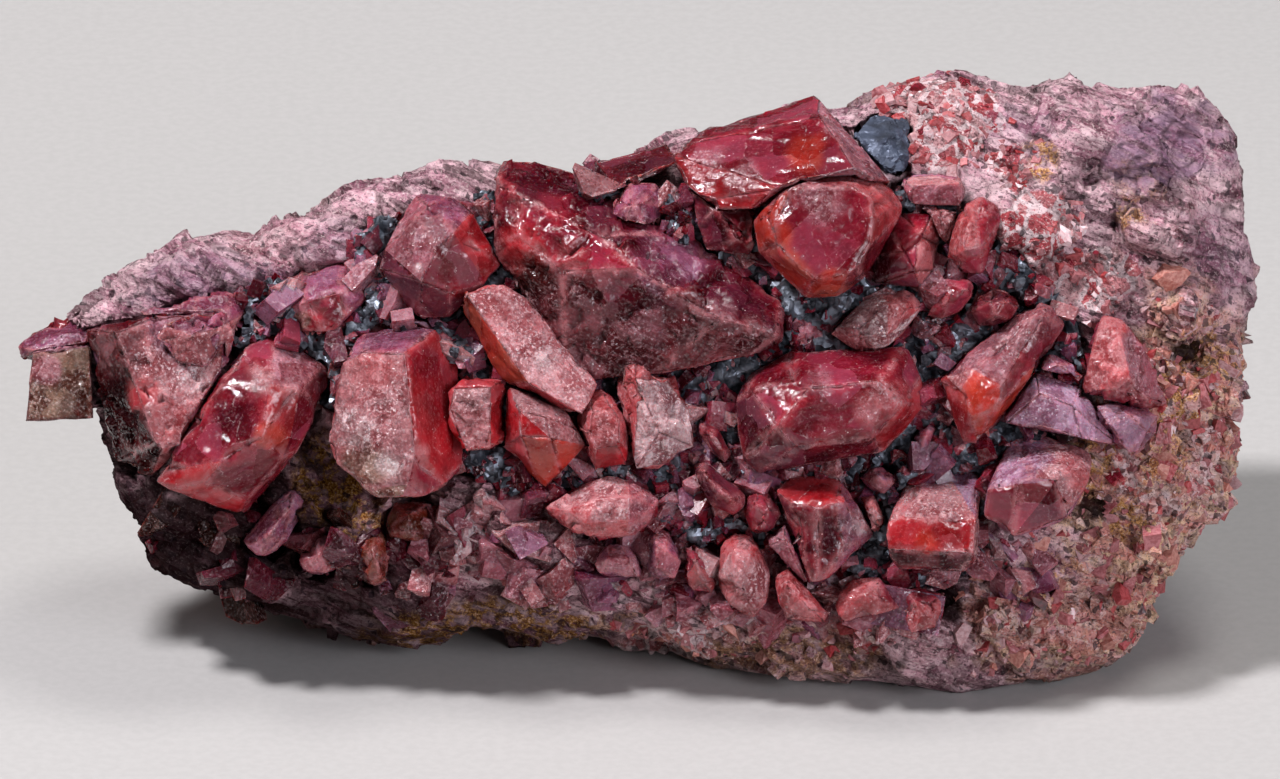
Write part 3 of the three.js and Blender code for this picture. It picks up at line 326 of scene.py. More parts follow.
def remeshed(
    node: bpy.types.Object, voxel: float, finer: Callable[[Array, Array], Array] | None = None
) -> bpy.types.Mesh:
    """A copy of a solid's mesh, made again of even triangles.

    Args:
        node: the solid.
        voxel: the side of a triangle, in mm.
        finer: tells, from the faces' middles in mm and their normals, which faces are cut three times finer.

    Returns:
        The new mesh.
    """
    shape = merged_copy(node)
    bmesh.ops.triangulate(shape, faces=shape.faces)
    mesh = bpy.data.meshes.new("remesh")
    shape.to_mesh(mesh)
    shape.free()
    holder = bpy.data.objects.new("remesh", mesh)
    bpy.context.scene.collection.objects.link(holder)
    modifier = holder.modifiers.new("even", "REMESH")
    modifier.mode, modifier.voxel_size = "VOXEL", voxel * MM
    even = bpy.data.meshes.new_from_object(holder.evaluated_get(bpy.context.evaluated_depsgraph_get()))
    bpy.data.objects.remove(holder)
    shape = bmesh.new()
    shape.from_mesh(even)
    if finer:
        middles = np.array([f.calc_center_median() for f in shape.faces]) / MM
        wanted = finer(middles, np.array([f.normal for f in shape.faces]))
        edges = {e for f, chosen in zip(list(shape.faces), wanted) if chosen for e in f.edges}
        bmesh.ops.subdivide_edges(shape, edges=list(edges), cuts=2, use_grid_fill=True)
    bmesh.ops.triangulate(shape, faces=shape.faces)
    shape.to_mesh(even)
    shape.free()
    shade(even, smooth=True)
    return even


def subdivide_to(shape: bmesh.types.BMesh, longest: float) -> None:
    """Cuts a shape's faces into triangles until no edge is much longer than a length.

    Args:
        shape: the shape.
        longest: the length, in mm.
    """
    bmesh.ops.triangulate(shape, faces=shape.faces)
    for _ in range(8):
        long_edges = [e for e in shape.edges if e.calc_length() > 1.5 * longest * MM]
        if not long_edges:
            break
        bmesh.ops.subdivide_edges(shape, edges=long_edges, cuts=1)
        bmesh.ops.triangulate(shape, faces=[f for f in shape.faces if len(f.verts) > 3])


def finished(
    name: str, mesh: bpy.types.Mesh, material: bpy.types.Material, slot: str, *nodes: str
) -> bpy.types.Object:
    """Makes an object of a mesh, on the specimen's body.

    Args:
        name: the piece's name.
        mesh: its mesh, in the row frame.
        material: its material.
        slot: the record's slot for it; not used.
        *nodes: the solids that it stands for, if any.

    Returns:
        The object.
    """
    mesh.name = name
    mesh.materials.clear()
    mesh.materials.append(material)
    piece = bpy.data.objects.new(name, mesh)
    bpy.context.scene.collection.objects.link(piece)
    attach(piece, BODY)
    if nodes:
        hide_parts(*nodes)
    log.info("%s: %d triangles", name, len(mesh.polygons))
    return piece


# ---------------------------------------------------------------------------------------- materials


class Kind(Enum):
    """The finishes' nodes: type, output, settings, and the inputs in the order that they are given.

    An output or an input is numbered where others of its node share its name.
    """

    PLACE = ("ShaderNodeTexCoord", "Object", {}, ())
    MAP = ("ShaderNodeUVMap", "UV", {}, ())
    COLOUR = ("ShaderNodeAttribute", "Color", {}, ())
    NUMBER = ("ShaderNodeAttribute", "Fac", {}, ())
    MAPPING = ("ShaderNodeMapping", 0, {}, ("Vector", "Scale", "Rotation"))
    NOISE = ("ShaderNodeTexNoise", 0, {}, ("Vector", "Scale", "Detail", "Roughness"))
    CELLS = ("ShaderNodeTexVoronoi", 0, {"feature": "F1"}, ("Vector", "Scale"))
    CUBES = ("ShaderNodeTexVoronoi", 0, {"feature": "F1", "distance": "CHEBYCHEV"}, ("Vector", "Scale"))
    SEAMS = ("ShaderNodeTexVoronoi", 0, {"feature": "DISTANCE_TO_EDGE"}, ("Vector", "Scale"))
    SPREAD = (
        "ShaderNodeMapRange", "Result", {"interpolation_type": "SMOOTHSTEP"},
        ("Value", "From Min", "From Max", "To Min", "To Max"),
    )
    BLEND = ("ShaderNodeMix", 2, {"data_type": "RGBA"}, (0, 6, 7))
    TINT = ("ShaderNodeMix", 2, {"data_type": "RGBA", "blend_type": "MULTIPLY"}, (0, 6, 7))
    BEND = ("ShaderNodeMix", 1, {"data_type": "VECTOR"}, (0, 4, 5))
    TIMES = ("ShaderNodeMath", 0, {"operation": "MULTIPLY"}, (0, 1))
    PLUS = ("ShaderNodeMath", 0, {"operation": "ADD"}, (0, 1))
    LESS = ("ShaderNodeMath", 0, {"operation": "SUBTRACT"}, (0, 1))
    GAMMA = ("ShaderNodeGamma", 0, {}, ("Color", "Gamma"))
    BRIGHTNESS = ("ShaderNodeRGBToBW", 0, {}, ("Color",))
    CHANNELS = ("ShaderNodeSeparateColor", 0, {}, ("Color",))
    BUMP = ("ShaderNodeBump", 0, {}, ("Height", "Strength", "Distance", "Normal"))
    ARROW_LESS = ("ShaderNodeVectorMath", 0, {"operation": "SUBTRACT"}, (0, 1))
    ARROW_TIMES = ("ShaderNodeVectorMath", 0, {"operation": "SCALE"}, (0, "Scale"))
    ARROW_PLUS = ("ShaderNodeVectorMath", 0, {"operation": "ADD"}, (0, 1))
    ARROW_UNIT = ("ShaderNodeVectorMath", 0, {"operation": "NORMALIZE"}, (0,))


def add_node(tree: bpy.types.NodeTree, kind: Kind, *inputs: Value, **settings: str) -> Socket:
    """Adds a node with its settings and links.

    Args:
        tree: the material's node tree.
        kind: which node.
        *inputs: for each input of the kind a number, a vector, a colour in sRGB hex, another node's output,
            or an output with the range that it is smoothly spread over and then the range it is spread to.
        **settings: the node's properties beyond those of its kind.

    Returns:
        The output that the kind names.
    """
    type_name, output, kind_settings, input_names = kind.value
    node = tree.nodes.new(type_name)
    for key, value in {**kind_settings, **settings}.items():
        setattr(node, key, value)
    for name, value in zip(input_names, inputs):
        if isinstance(value, tuple) and isinstance(value[0], Socket):
            value = add_node(tree, Kind.SPREAD, *value)
        if isinstance(value, Socket):
            tree.links.new(value, node.inputs[name])
        else:
            node.inputs[name].default_value = linear(value) if isinstance(value, str) else value
    return node.outputs[output]


class Recipe:
    """A material in the making: coats of colour and layers of relief, each laid over the ones before.

    Patterns lie on Object coordinates, so a pattern of scale s has swells or cells 1000 / s mm wide.
    """

    def __init__(self, name: str) -> None:
        """Starts the material.

        Args:
            name: its name.
        """
        self.material = bpy.data.materials.new(name)
        self.material.use_nodes = True
        self.tree = self.material.node_tree
        self.place = self.add(Kind.PLACE)
        self.colour: Value = linear("#000000")  # each finish sets its own first coat
        self.relief: Socket | None = None

    def add(self, kind: Kind, *inputs: Value, **settings: str) -> Socket:
        """Adds a node, as add_node does."""
        return add_node(self.tree, kind, *inputs, **settings)

    def product(self, *shares: Value) -> Value:
        """Multiplies some shares.

        Args:
            *shares: values as add_node takes them.

        Returns:
            Their product.
        """
        total = shares[0]
        for share in shares[1:]:
            total = self.add(Kind.TIMES, total, share)
        return total

    def coat(self, colour: Value, *shares: Value) -> None:
        """Lays a coat of colour over the ones before, as strongly as the product of the shares."""
        self.colour = self.add(Kind.BLEND, self.product(*shares), self.colour, colour)

    def emboss(self, height: Socket, strength: Value, depth: float) -> None:
        """Adds a layer of relief.

        Args:
            height: a pattern from 0 to 1.
            strength: how strongly it shows.
            depth: its full height, in metres.
        """
        under = [self.relief] if self.relief else []
        self.relief = self.add(Kind.BUMP, height, strength, depth, *under)

    def tilt(self, cells: Socket, lean: Value) -> None:
        """Leans the surface a different way in each of some cells, so that single grains glint.

        Args:
            cells: the cells' distance output.
            lean: how far it leans: at 1 by up to 40 degrees.
        """
        centred = self.add(Kind.ARROW_LESS, cells.node.outputs["Color"], (0.5, 0.5, 0.5))
        leaning = self.add(Kind.ARROW_PLUS, self.relief, self.add(Kind.ARROW_TIMES, centred, lean))
        self.relief = self.add(Kind.ARROW_UNIT, leaning)

    def finish(self, inputs: dict[str, Value]) -> bpy.types.Material:
        """Joins the coats and the relief to the shader.

        Args:
            inputs: the shader's other inputs by name.

        Returns:
            The material.
        """
        shader = self.tree.nodes["Principled BSDF"]
        for name, value in {"Base Color": self.colour, "Normal": self.relief, **inputs}.items():
            if isinstance(value, Socket):
                self.tree.links.new(value, shader.inputs[name])
            elif value is not None:
                shader.inputs[name].default_value = value
        return self.material


@dataclass(frozen=True)
class CrystalFinish:
    """Rhodonite crystal, a manganese silicate: glassy where a face is fresh, frosted where it is etched.

    Light goes a few millimetres into it and comes back red, and its index of refraction gives it more gloss
    than glass. Fine striations run along each face, pale veils of healed cracks cross it, and etched faces
    are sugary. `paleness` is the gamma that turns a tone to its frosted shade, so less is paler.
    """

    slot: str
    clearness: float = 0.0
    inner_light: float = 0.3
    streaks: float = 0.3
    veils: float = 0.15
    granular: float = 1.0
    paleness: float = 0.52

    def make(self) -> bpy.types.Material:
        """Makes the material.

        Returns:
            The material.
        """
        recipe = Recipe(f"rhodonite_crystal_{self.slot}")
        add, coat, place = recipe.add, recipe.coat, recipe.place
        tint = add(Kind.COLOUR, attribute_name="tint")
        frost, edge, rim = (add(Kind.NUMBER, attribute_name=name) for name in ("frost", "edge", "rim"))
        glassy = add(Kind.LESS, 1.0, frost)
        clouds = add(Kind.NOISE, place, 210, 4, 0.65)
        mottle = add(Kind.NOISE, place, 800, 5, 0.7)
        sugar = add(Kind.NOISE, place, 2700, 3, 0.6)
        deep = add(Kind.TINT, 1.0, tint, "#B08086")
        pale = add(Kind.GAMMA, tint, self.paleness)

        # The body is darker in swells 5 mm wide. A painted glow makes glassy faces redder and brighter near
        # an edge, as if light came in there, and painted shade darkens the middle of each glassy face.
        recipe.colour = tint
        coat(deep, (clouds, 0.36, 0.62))
        coat("#C42C34", rim, glassy, (clouds, 0.6, 0.4, 0.0, 0.45))
        coat(deep, add(Kind.LESS, 1.0, rim), glassy, 0.55, (mottle, 0.3, 0.6, 0.5, 1.0))

        # Striations: the face's own map is in cm, so a scale of 13 across it gives bands under 1 mm wide.
        stretched = add(Kind.MAPPING, add(Kind.MAP, uv_map="along_face"), (1.6, 13.0, 1.0))
        lines = add(Kind.NOISE, stretched, 1.6, 5, 0.62)
        coat(pale, (lines, 0.5, 0.7), add(Kind.PLUS, frost, 0.3), self.streaks)

        # Cloudy pale patches and a mosaic of grains, both 1 mm wide, and a finer sugary grain where etched.
        coat(pale, (mottle, 0.5, 0.68), (frost, 0.0, 1.0, 0.05, 0.6))
        mosaic = add(Kind.CELLS, place, 1050)
        chance = add(Kind.CHANNELS, mosaic.node.outputs["Color"])
        coat(pale, (chance, 0.6, 1.0), frost, 0.52 * self.granular)
        coat(deep, (chance.node.outputs[1], 0.6, 1.0), frost, 0.52 * self.granular)
        coat(deep, (mottle, 0.48, 0.32), 0.6)
        sugary = recipe.product(frost, (clouds, 0.35, 0.6, 0.25, 1.0))
        sugar_white = add(Kind.BLEND, 0.4, pale, Tone.PALE.colour)
        coat(sugar_white, (sugar, 0.53, 0.64), (sugary, 0.0, 1.0, 0.08, 0.85))
        coat(deep, (sugar, 0.46, 0.36), (sugary, 0.0, 1.0, 0.15, 0.8))

        # Healed cracks: they part the crystal into blocks 4 mm wide, and show as thin pale sheets in places.
        bent = add(Kind.BEND, 0.002, place, add(Kind.NOISE, place, 300, 4, 0.6))
        block = add(Kind.CHANNELS, add(Kind.CELLS, bent, 240).node.outputs["Color"])
        coat(pale, (block, 0.5, 1.0, 0.0, 0.35))
        coat(deep, (block.node.outputs[1], 0.5, 1.0, 0.0, 0.6))
        coat(Tone.PALE.colour, (add(Kind.SEAMS, bent, 240), 0.03, 0.0), (mottle, 0.5, 0.66), self.veils)

        # Edges are paler in places, partly from real chipping and partly as a painted highlight along them.
        # The white specks 0.1 mm wide are partly dust and partly painted glints.
        coat(Tone.FROST.colour, edge, (mottle, 0.4, 0.6, 0.05, 0.62))
        glint = add(Kind.CELLS, place, 3800)
        glint_chance = add(Kind.CHANNELS, glint.node.outputs["Color"])
        coat("#EACFCF", (glint_chance, 0.06, 0.04), (glint, 0.45, 0.2), (mottle, 0.45, 0.7, 0.0, 0.75))

        # Gloss: fresh faces are smooth, and etched ones are satin with glints from single grains. A dark face
        # shines less, so that it stays as deep as it is.
        satin = add(Kind.PLUS, (frost, 0.0, 1.0, 0.1, 0.6), (mottle, 0.35, 0.7, -0.04, 0.12))
        brightness = add(Kind.BRIGHTNESS, recipe.colour)
        sheen = recipe.product((frost, 0.0, 1.0, 0.34, 0.1), (brightness, 0.004, 0.05))
        flashes = recipe.product(frost, (glint_chance, 0.88, 0.9, 0.0, 0.9))

        # Relief: striations, growth hillocks, single grains and sugar.
        recipe.emboss(lines, (frost, 0.0, 1.0, 0.25, 0.5), 0.00022)
        recipe.emboss(mottle, (frost, 0.0, 1.0, 0.16, 0.7), 0.0005)
        recipe.tilt(mosaic, (frost, 0.0, 1.0, 0.04, 0.5 * self.granular))
        recipe.tilt(glint, (frost, 0.0, 1.0, 0.05, 0.7))
        recipe.emboss(sugar, (frost, 0.0, 1.0, 0.1, 0.4), 0.00015)
        return recipe.finish(
            {
                "Roughness": recipe.product(satin, (glint_chance, 0.86, 0.92, 1.0, 0.3)),
                "IOR": RHODONITE_IOR,
                "Specular IOR Level": add(Kind.PLUS, sheen, flashes),
                "Subsurface Weight": self.inner_light,
                "Subsurface Radius": (1.0, 0.16, 0.12),
                "Subsurface Scale": 0.002,
                "Transmission Weight": self.clearness,
            }
        )


@dataclass(frozen=True)
class MassiveFinish:
    """Massive rhodonite, broken: a granular rose stone whose grains part along cleavage.

    Fresh grains are rose to salmon with pale grains among them. Manganese and iron oxides stain its seams
    brown and ochre. Its dark zone, nearly black at the lower left and along the lower rim, is partly a skin
    of oxides and partly painted shade. Broken cleavage flashes, and the rest is dull.
    """

    def make(self) -> bpy.types.Material:
        """Makes the material.

        Returns:
            The material.
        """
        recipe = Recipe("massive_rhodonite_broken")
        add, coat, place = recipe.add, recipe.coat, recipe.place
        dipping = add(Kind.MAPPING, place, (1.0, 1.0, 1.0), (0.0, -FOLIATION, 0.0))
        fibre_place = add(Kind.MAPPING, dipping, (0.35, 1.0, 2.0))
        names = ("chance", "seam", "dark", "red", "tan", "pale", "violet", "ochre")
        stored = {name: add(Kind.NUMBER, attribute_name=name) for name in names}
        swell = add(Kind.NOISE, place, 150, 4, 0.68)
        fine = add(Kind.NOISE, place, 750, 5, 0.68)
        grit = add(Kind.NOISE, place, 3000, 3, 0.68)
        fibre = add(Kind.NOISE, fibre_place, 620, 6, 0.72)
        cells, grains = add(Kind.CELLS, fibre_place, 520), add(Kind.CELLS, place, 1500)
        cell_chance = add(Kind.CHANNELS, cells.node.outputs["Color"])
        grain_chance = add(Kind.CHANNELS, grains.node.outputs["Color"])

        # Rose stone in swells 7 mm wide, with pale and dark cleavage cells and fibres along its grain.
        recipe.colour = linear("#A06276")
        coat("#E8B2BE", (swell, 0.38, 0.62))
        coat("#F0C8CE", (stored["chance"], 0.4, 1.0, 0.0, 0.6))
        coat("#F4D0D4", (cell_chance, 0.5, 1.0, 0.0, 0.6))
        coat("#581F30", (cell_chance.node.outputs[1], 0.5, 1.0, 0.0, 0.65))
        coat("#963640", stored["red"], (fine, 0.3, 0.6, 0.4, 0.95))
        coat("#F2CCD2", (fibre, 0.5, 0.64, 0.0, 0.8))
        coat("#3E161F", (fibre, 0.48, 0.34, 0.0, 0.9))
        coat("#FFD4A8", stored["tan"], (fine, 0.4, 0.6, 0.3, 1.0), 0.8)
        coat("#D07870", stored["tan"], (cell_chance.node.outputs[2], 0.45, 0.7), 0.7)

        # Where it is pale, red grains 3 mm wide lie in a white network.
        bent = add(Kind.BEND, 0.0012, place, add(Kind.NOISE, place, 900, 3, 0.68))
        bead_chance = add(Kind.CHANNELS, add(Kind.CELLS, bent, 370).node.outputs["Color"])
        bead = add(Kind.BLEND, (bead_chance, 0.1, 0.8), "#AC3A42", "#D09A9C")
        white = add(Kind.PLUS, (add(Kind.SEAMS, bent, 370), 0.14, 0.04), (fine, 0.52, 0.7, 0.0, 0.7))
        network = add(Kind.BLEND, (white, 0.0, 1.0), bead, "#E6C8CA")
        coat(network, (add(Kind.PLUS, stored["pale"], fine), 0.7, 1.05))

        # Rust in ochre grains, and the dark zone: partly a skin of oxides and partly painted shade where the
        # stone curves under and in cavities.
        coat(add(Kind.BLEND, (grit, 0.4, 0.6), "#844A14", "#E0A044"), stored["ochre"], (fine, 0.44, 0.54))
        coat("#100606", stored["dark"], 0.95)

        # Scattered pale and dark grains, 0.3 to 1 mm, over all of it, and oxides in the seams.
        coat("#DCC2C0", (grit, 0.55, 0.66, 0.0, 0.85), (stored["dark"], 0.2, 0.9, 1.0, 0.1))
        coat("#2A151A", (grit, 0.46, 0.33, 0.0, 0.75))
        coat("#30252C", (grain_chance.node.outputs[1], 0.92, 0.96), 0.7)
        coat("#8C6884", stored["violet"], (fibre, 0.35, 0.6, 0.2, 0.8))
        coat("#2C1816", (stored["seam"], 0.0, 0.25, 0.55, 0.0))

        recipe.emboss(fibre, 0.9, 0.0012)
        recipe.emboss(fine, 0.5, 0.0006)
        recipe.tilt(cells, 0.6)
        recipe.tilt(grains, 0.55)
        recipe.emboss(grit, 0.35, 0.0002)
        rough = add(Kind.PLUS, (grain_chance, 0.8, 0.88, 0.55, 0.18), (grit, 0.35, 0.65, -0.05, 0.12))
        gloss = add(Kind.SPREAD, stored["dark"], 0.0, 0.8, 0.22, 0.0)
        return recipe.finish({"Roughness": rough, "IOR": RHODONITE_IOR, "Specular IOR Level": gloss})


@dataclass(frozen=True)
class GalenaFinish:
    """Galena, lead sulphide: bright lead-grey metal on fresh cubic cleavage, with a darker bluish tarnish."""

    name: str = "galena_cleaved"
    bright: str = "#7C828C"
    tarnished: str = "#2C3038"
    metal: float = 0.7

    def make(self) -> bpy.types.Material:
        """Makes the material.

        Returns:
            The material.
        """
        recipe = Recipe(self.name)
        tarnish = recipe.add(Kind.NOISE, recipe.place, 400, 5)
        scratch = recipe.add(Kind.NOISE, recipe.place, 3000, 4)
        steps = recipe.add(Kind.CUBES, recipe.place, 900)
        recipe.colour = linear(self.bright)
        recipe.coat(self.tarnished, (tarnish, 0.4, 0.62))
        recipe.emboss(steps, 0.6, 0.0003)
        recipe.emboss(scratch, 0.3, 0.0001)
        recipe.tilt(steps, 0.45)
        rough = recipe.add(Kind.PLUS, (tarnish, 0.35, 0.65, 0.36, 0.68), (scratch, 0.4, 0.7, 0.0, 0.12))
        return recipe.finish({"Roughness": rough, "Metallic": self.metal, "Specular IOR Level": 0.3})


@dataclass(frozen=True)
class GrainFinish:
    """Loose cleavage grains grown on the surface: each grain has its own tone, and its faces flash."""

    name: str
    metal: float = 0.0

    def make(self) -> bpy.types.Material:
        """Makes the material.

        Returns:
            The material.
        """
        recipe = Recipe(self.name)
        tint = recipe.add(Kind.COLOUR, attribute_name="tint")
        frost = recipe.add(Kind.NUMBER, attribute_name="frost")
        grit = recipe.add(Kind.NOISE, recipe.place, 2600, 5)
        recipe.colour = recipe.add(Kind.GAMMA, tint, 1.5)
        recipe.coat(tint, (grit, 0.38, 0.62))
        recipe.emboss(grit, 0.5, 0.0002)
        rough = recipe.add(Kind.PLUS, (frost, 0.0, 1.0, 0.14, 0.6), (grit, 0.4, 0.7, 0.0, 0.1))
        inputs = {"Roughness": rough, "Metallic": self.metal}
        if not self.metal:
            inputs |= {
                "IOR": RHODONITE_IOR,
                "Subsurface Weight": 0.2,
                "Subsurface Radius": (1.0, 0.25, 0.2),
                "Subsurface Scale": 0.001,
            }
        return recipe.finish(inputs)


@dataclass(frozen=True)
class PaperFinish:
    """Matt paper, grey and uncoated: its tooth shows as a faint mottle."""

    def make(self) -> bpy.types.Material:
        """Makes the material.

        Returns:
            The material.
        """
        recipe = Recipe("matt_paper")
        recipe.colour = linear("#ACA9A6")
        recipe.coat("#B0ADAA", (recipe.add(Kind.NOISE, recipe.place, 900, 3), 0.3, 0.7))
        return recipe.finish({"Roughness": 0.9})


# ----------------------------------------------------------------------------------------- crystals

FRONT_TONES: dict[str, tuple[Tone, Tone]] = {
    "gem_rhodonite": (Tone.CRIMSON, Tone.WINE),
    "wine_rhodonite": (Tone.WINE, Tone.WINE),
    "magenta_rhodonite": (Tone.CRIMSON, Tone.WINE),
    "mauve_rhodonite": (Tone.MAUVE, Tone.WINE),
    "rose_rhodonite": (Tone.ROSE, Tone.MAUVE),
    "frosted_rhodonite": (Tone.FROST, Tone.SALMON),
    "salmon_rhodonite": (Tone.SALMON, Tone.CRIMSON),
    "stepped_rhodonite": (Tone.FROST, Tone.SCARLET),
    "violet_rhodonite": (Tone.VIOLET, Tone.MAUVE),
    "tan_rhodonite": (Tone.UMBER, Tone.BROWN),
    "amber_rhodonite": (Tone.AMBER, Tone.BROWN),
}
# The tones of each slot's crystals: in front, and on their sides. The side tone is mostly the darker: partly
# each face's own finish, and partly painted shade on faces turned away from the front and a painted sheen on
# the paler, frosted fronts.
"""The tones of each slot's crystals: in front, and on their sides."""

FACE_TONES: dict[str, list[tuple[float, float, Tone]]] = {
    "tall_prism": [
        (-29, 32, Tone.FROST), (-28.5, 40.6, Tone.MAUVE), (-23.3, 32, Tone.SCARLET), (-20.2, 32, Tone.WINE),
        (-30, 24.5, Tone.TAN), (-33.4, 31, Tone.ROSE), (-24, 41.6, Tone.MAUVE), (-24, 23, Tone.CRIMSON),
    ],
    "split_fan_crystal": [
        (-47.5, 32.5, Tone.CRIMSON), (-45, 27.5, Tone.CRIMSON), (-40, 31.5, Tone.SCARLET),
        (-36.5, 33, Tone.CRIMSON), (-39, 39, Tone.ROSE), (-51.5, 25.5, Tone.SCARLET),
        (-43, 37.5, Tone.CRIMSON), (-40, 26, Tone.CRIMSON),
    ],
    "left_slab": [
        # The near-black tone on the left slab's left face is painted shade.
        (-52, 37, Tone.FROST), (-50.5, 31.5, Tone.SALMON), (-57.5, 31, Tone.PAINTED_SHADE), (-60, 40.8, Tone.WINE),
        (-53, 42.4, Tone.MAUVE),
    ],
    "ruby_block": [
        (-25.6, 52.5, Tone.ROSE), (-20, 49, Tone.CRIMSON), (-22, 54.5, Tone.MAUVE), (-26, 45.5, Tone.WINE),
        (-17.5, 48, Tone.SCARLET), (-22, 44, Tone.WINE), (-17.8, 52.5, Tone.SCARLET),
    ],
    "band_crystal": [
        (-11, 58.5, Tone.WINE), (-12.5, 53, Tone.WINE), (-12, 48, Tone.RUSSET), (-6, 43.5, Tone.RUSSET),
        (0, 44.5, Tone.RUSSET), (8, 41, Tone.RUSSET), (10, 46.5, Tone.WINE), (3, 51, Tone.WINE),
        (-6, 55.5, Tone.CRIMSON), (14, 39.5, Tone.WINE),
    ],
    "great_crystal_upper_tier": [
        (11, 60.5, Tone.CRIMSON), (19, 61.5, Tone.CRIMSON), (25.5, 61, Tone.ROSE), (8.5, 57, Tone.SCARLET),
        (16, 65, Tone.CRIMSON),
    ],
    "great_crystal_lower_tier": [
        (21.5, 53, Tone.CRIMSON), (17, 49, Tone.SCARLET), (14.2, 52, Tone.ORANGE), (28.5, 53, Tone.SCARLET),
        (22, 57.6, Tone.SALMON), (21.5, 45.8, Tone.ORANGE), (26, 48, Tone.CRIMSON),
    ],
    "central_crystal": [
        (13.6, 32.5, Tone.WINE), (16.6, 34, Tone.CRIMSON), (19, 33, Tone.CRIMSON), (27, 35.8, Tone.CRIMSON),
        (22, 38.3, Tone.CRIMSON), (24, 31.5, Tone.CRIMSON), (18, 27.6, Tone.WINE),
        (30.8, 31.5, Tone.SCARLET),
    ],
    "pink_lath": [(-12, 41, Tone.FROST), (-17.3, 41.5, Tone.ORANGE), (-13.8, 36.3, Tone.SCARLET)],
    "long_red_prism": [
        (43.5, 41, Tone.ROSE), (39.2, 34, Tone.ORANGE), (43, 36.8, Tone.CRIMSON),
        (47.3, 42.5, Tone.CRIMSON), (38, 37.6, Tone.FROST), (36, 33.5, Tone.SCARLET),
    ],
    "striped_prism": [
        (35.5, 25.6, Tone.VIOLET), (34.5, 21.8, Tone.FROST), (33.5, 18.2, Tone.SCARLET),
        (33, 15.3, Tone.WINE),
    ],
    "violet_block": [
        (44.5, 27, Tone.VIOLET), (50.3, 25.5, Tone.FROST), (44.5, 21.5, Tone.CRIMSON),
        (48.8, 21.5, Tone.WINE),
    ],
    "wine_prism": [
        (19.5, 24.2, Tone.SCARLET), (20.5, 19, Tone.WINE), (24.8, 18.8, Tone.MAUVE),
        (20.8, 14.5, Tone.CRIMSON),
    ],
    "salmon_wedge": [(53.6, 38, Tone.SALMON), (57.6, 36.5, Tone.ROSE), (56, 33.6, Tone.CRIMSON)],
    "grey_rose_crystal": [(-10, 31.5, Tone.FROST), (-13.8, 30.5, Tone.SCARLET), (-10, 26.3, Tone.ORANGE)],
    "salmon_bead": [(-3.3, 31, Tone.SALMON), (-3, 26.5, Tone.SCARLET)],
    "white_frosted_lath": [(3.5, 31.5, Tone.HOAR), (-0.5, 33, Tone.SALMON)],
    "lower_fan_crystal": [(-3, 22.5, Tone.FROST), (-5, 19, Tone.SALMON), (2, 21, Tone.ROSE)],
    "upper_left_lens": [(-34.5, 47, Tone.MAUVE), (-36, 42.5, Tone.CRIMSON), (-38.5, 45.5, Tone.ROSE)],
    "left_lobe": [(-49, 43.8, Tone.MAUVE), (-48.5, 40, Tone.FROST)],
    "end_block": [(-65, 35, Tone.UMBER), (-65, 40.2, Tone.MAUVE)],
    "salmon_block": [(27, 42, Tone.HOAR), (24, 41, Tone.FROST), (30.5, 45.3, Tone.SALMON)],
    "red_lath": [(38, 52, Tone.SALMON), (40.5, 52, Tone.CRIMSON), (36.2, 50, Tone.CRIMSON)],
    "crimson_side_crystal": [(31.5, 51.5, Tone.CRIMSON), (29, 49, Tone.WINE), (33.6, 50.5, Tone.SALMON)],
    "pink_bar_crystal": [(34, 57.3, Tone.ROSE), (34, 58.8, Tone.FROST)],
    "purple_lath": [(-45, 20, Tone.MAUVE)],
    "pink_foot_crystal": [(-38, 17, Tone.CRIMSON)],
}
# The tone of a crystal's face by the nearest of these places: u and v in mm. The VIOLET of upward faces, such
# as the tops of the violet block and the striped prism, is partly the face's colour and partly a painted
# sheen.
"""The tone of a crystal's face by the nearest of these places: u and v in mm."""


@dataclass(frozen=True)
class Spot:
    """A soft-edged patch of another tone on a crystal: its place and radius in mm, and its strength."""

    u: float
    v: float
    radius: float
    tone: Tone
    strength: float = 0.9


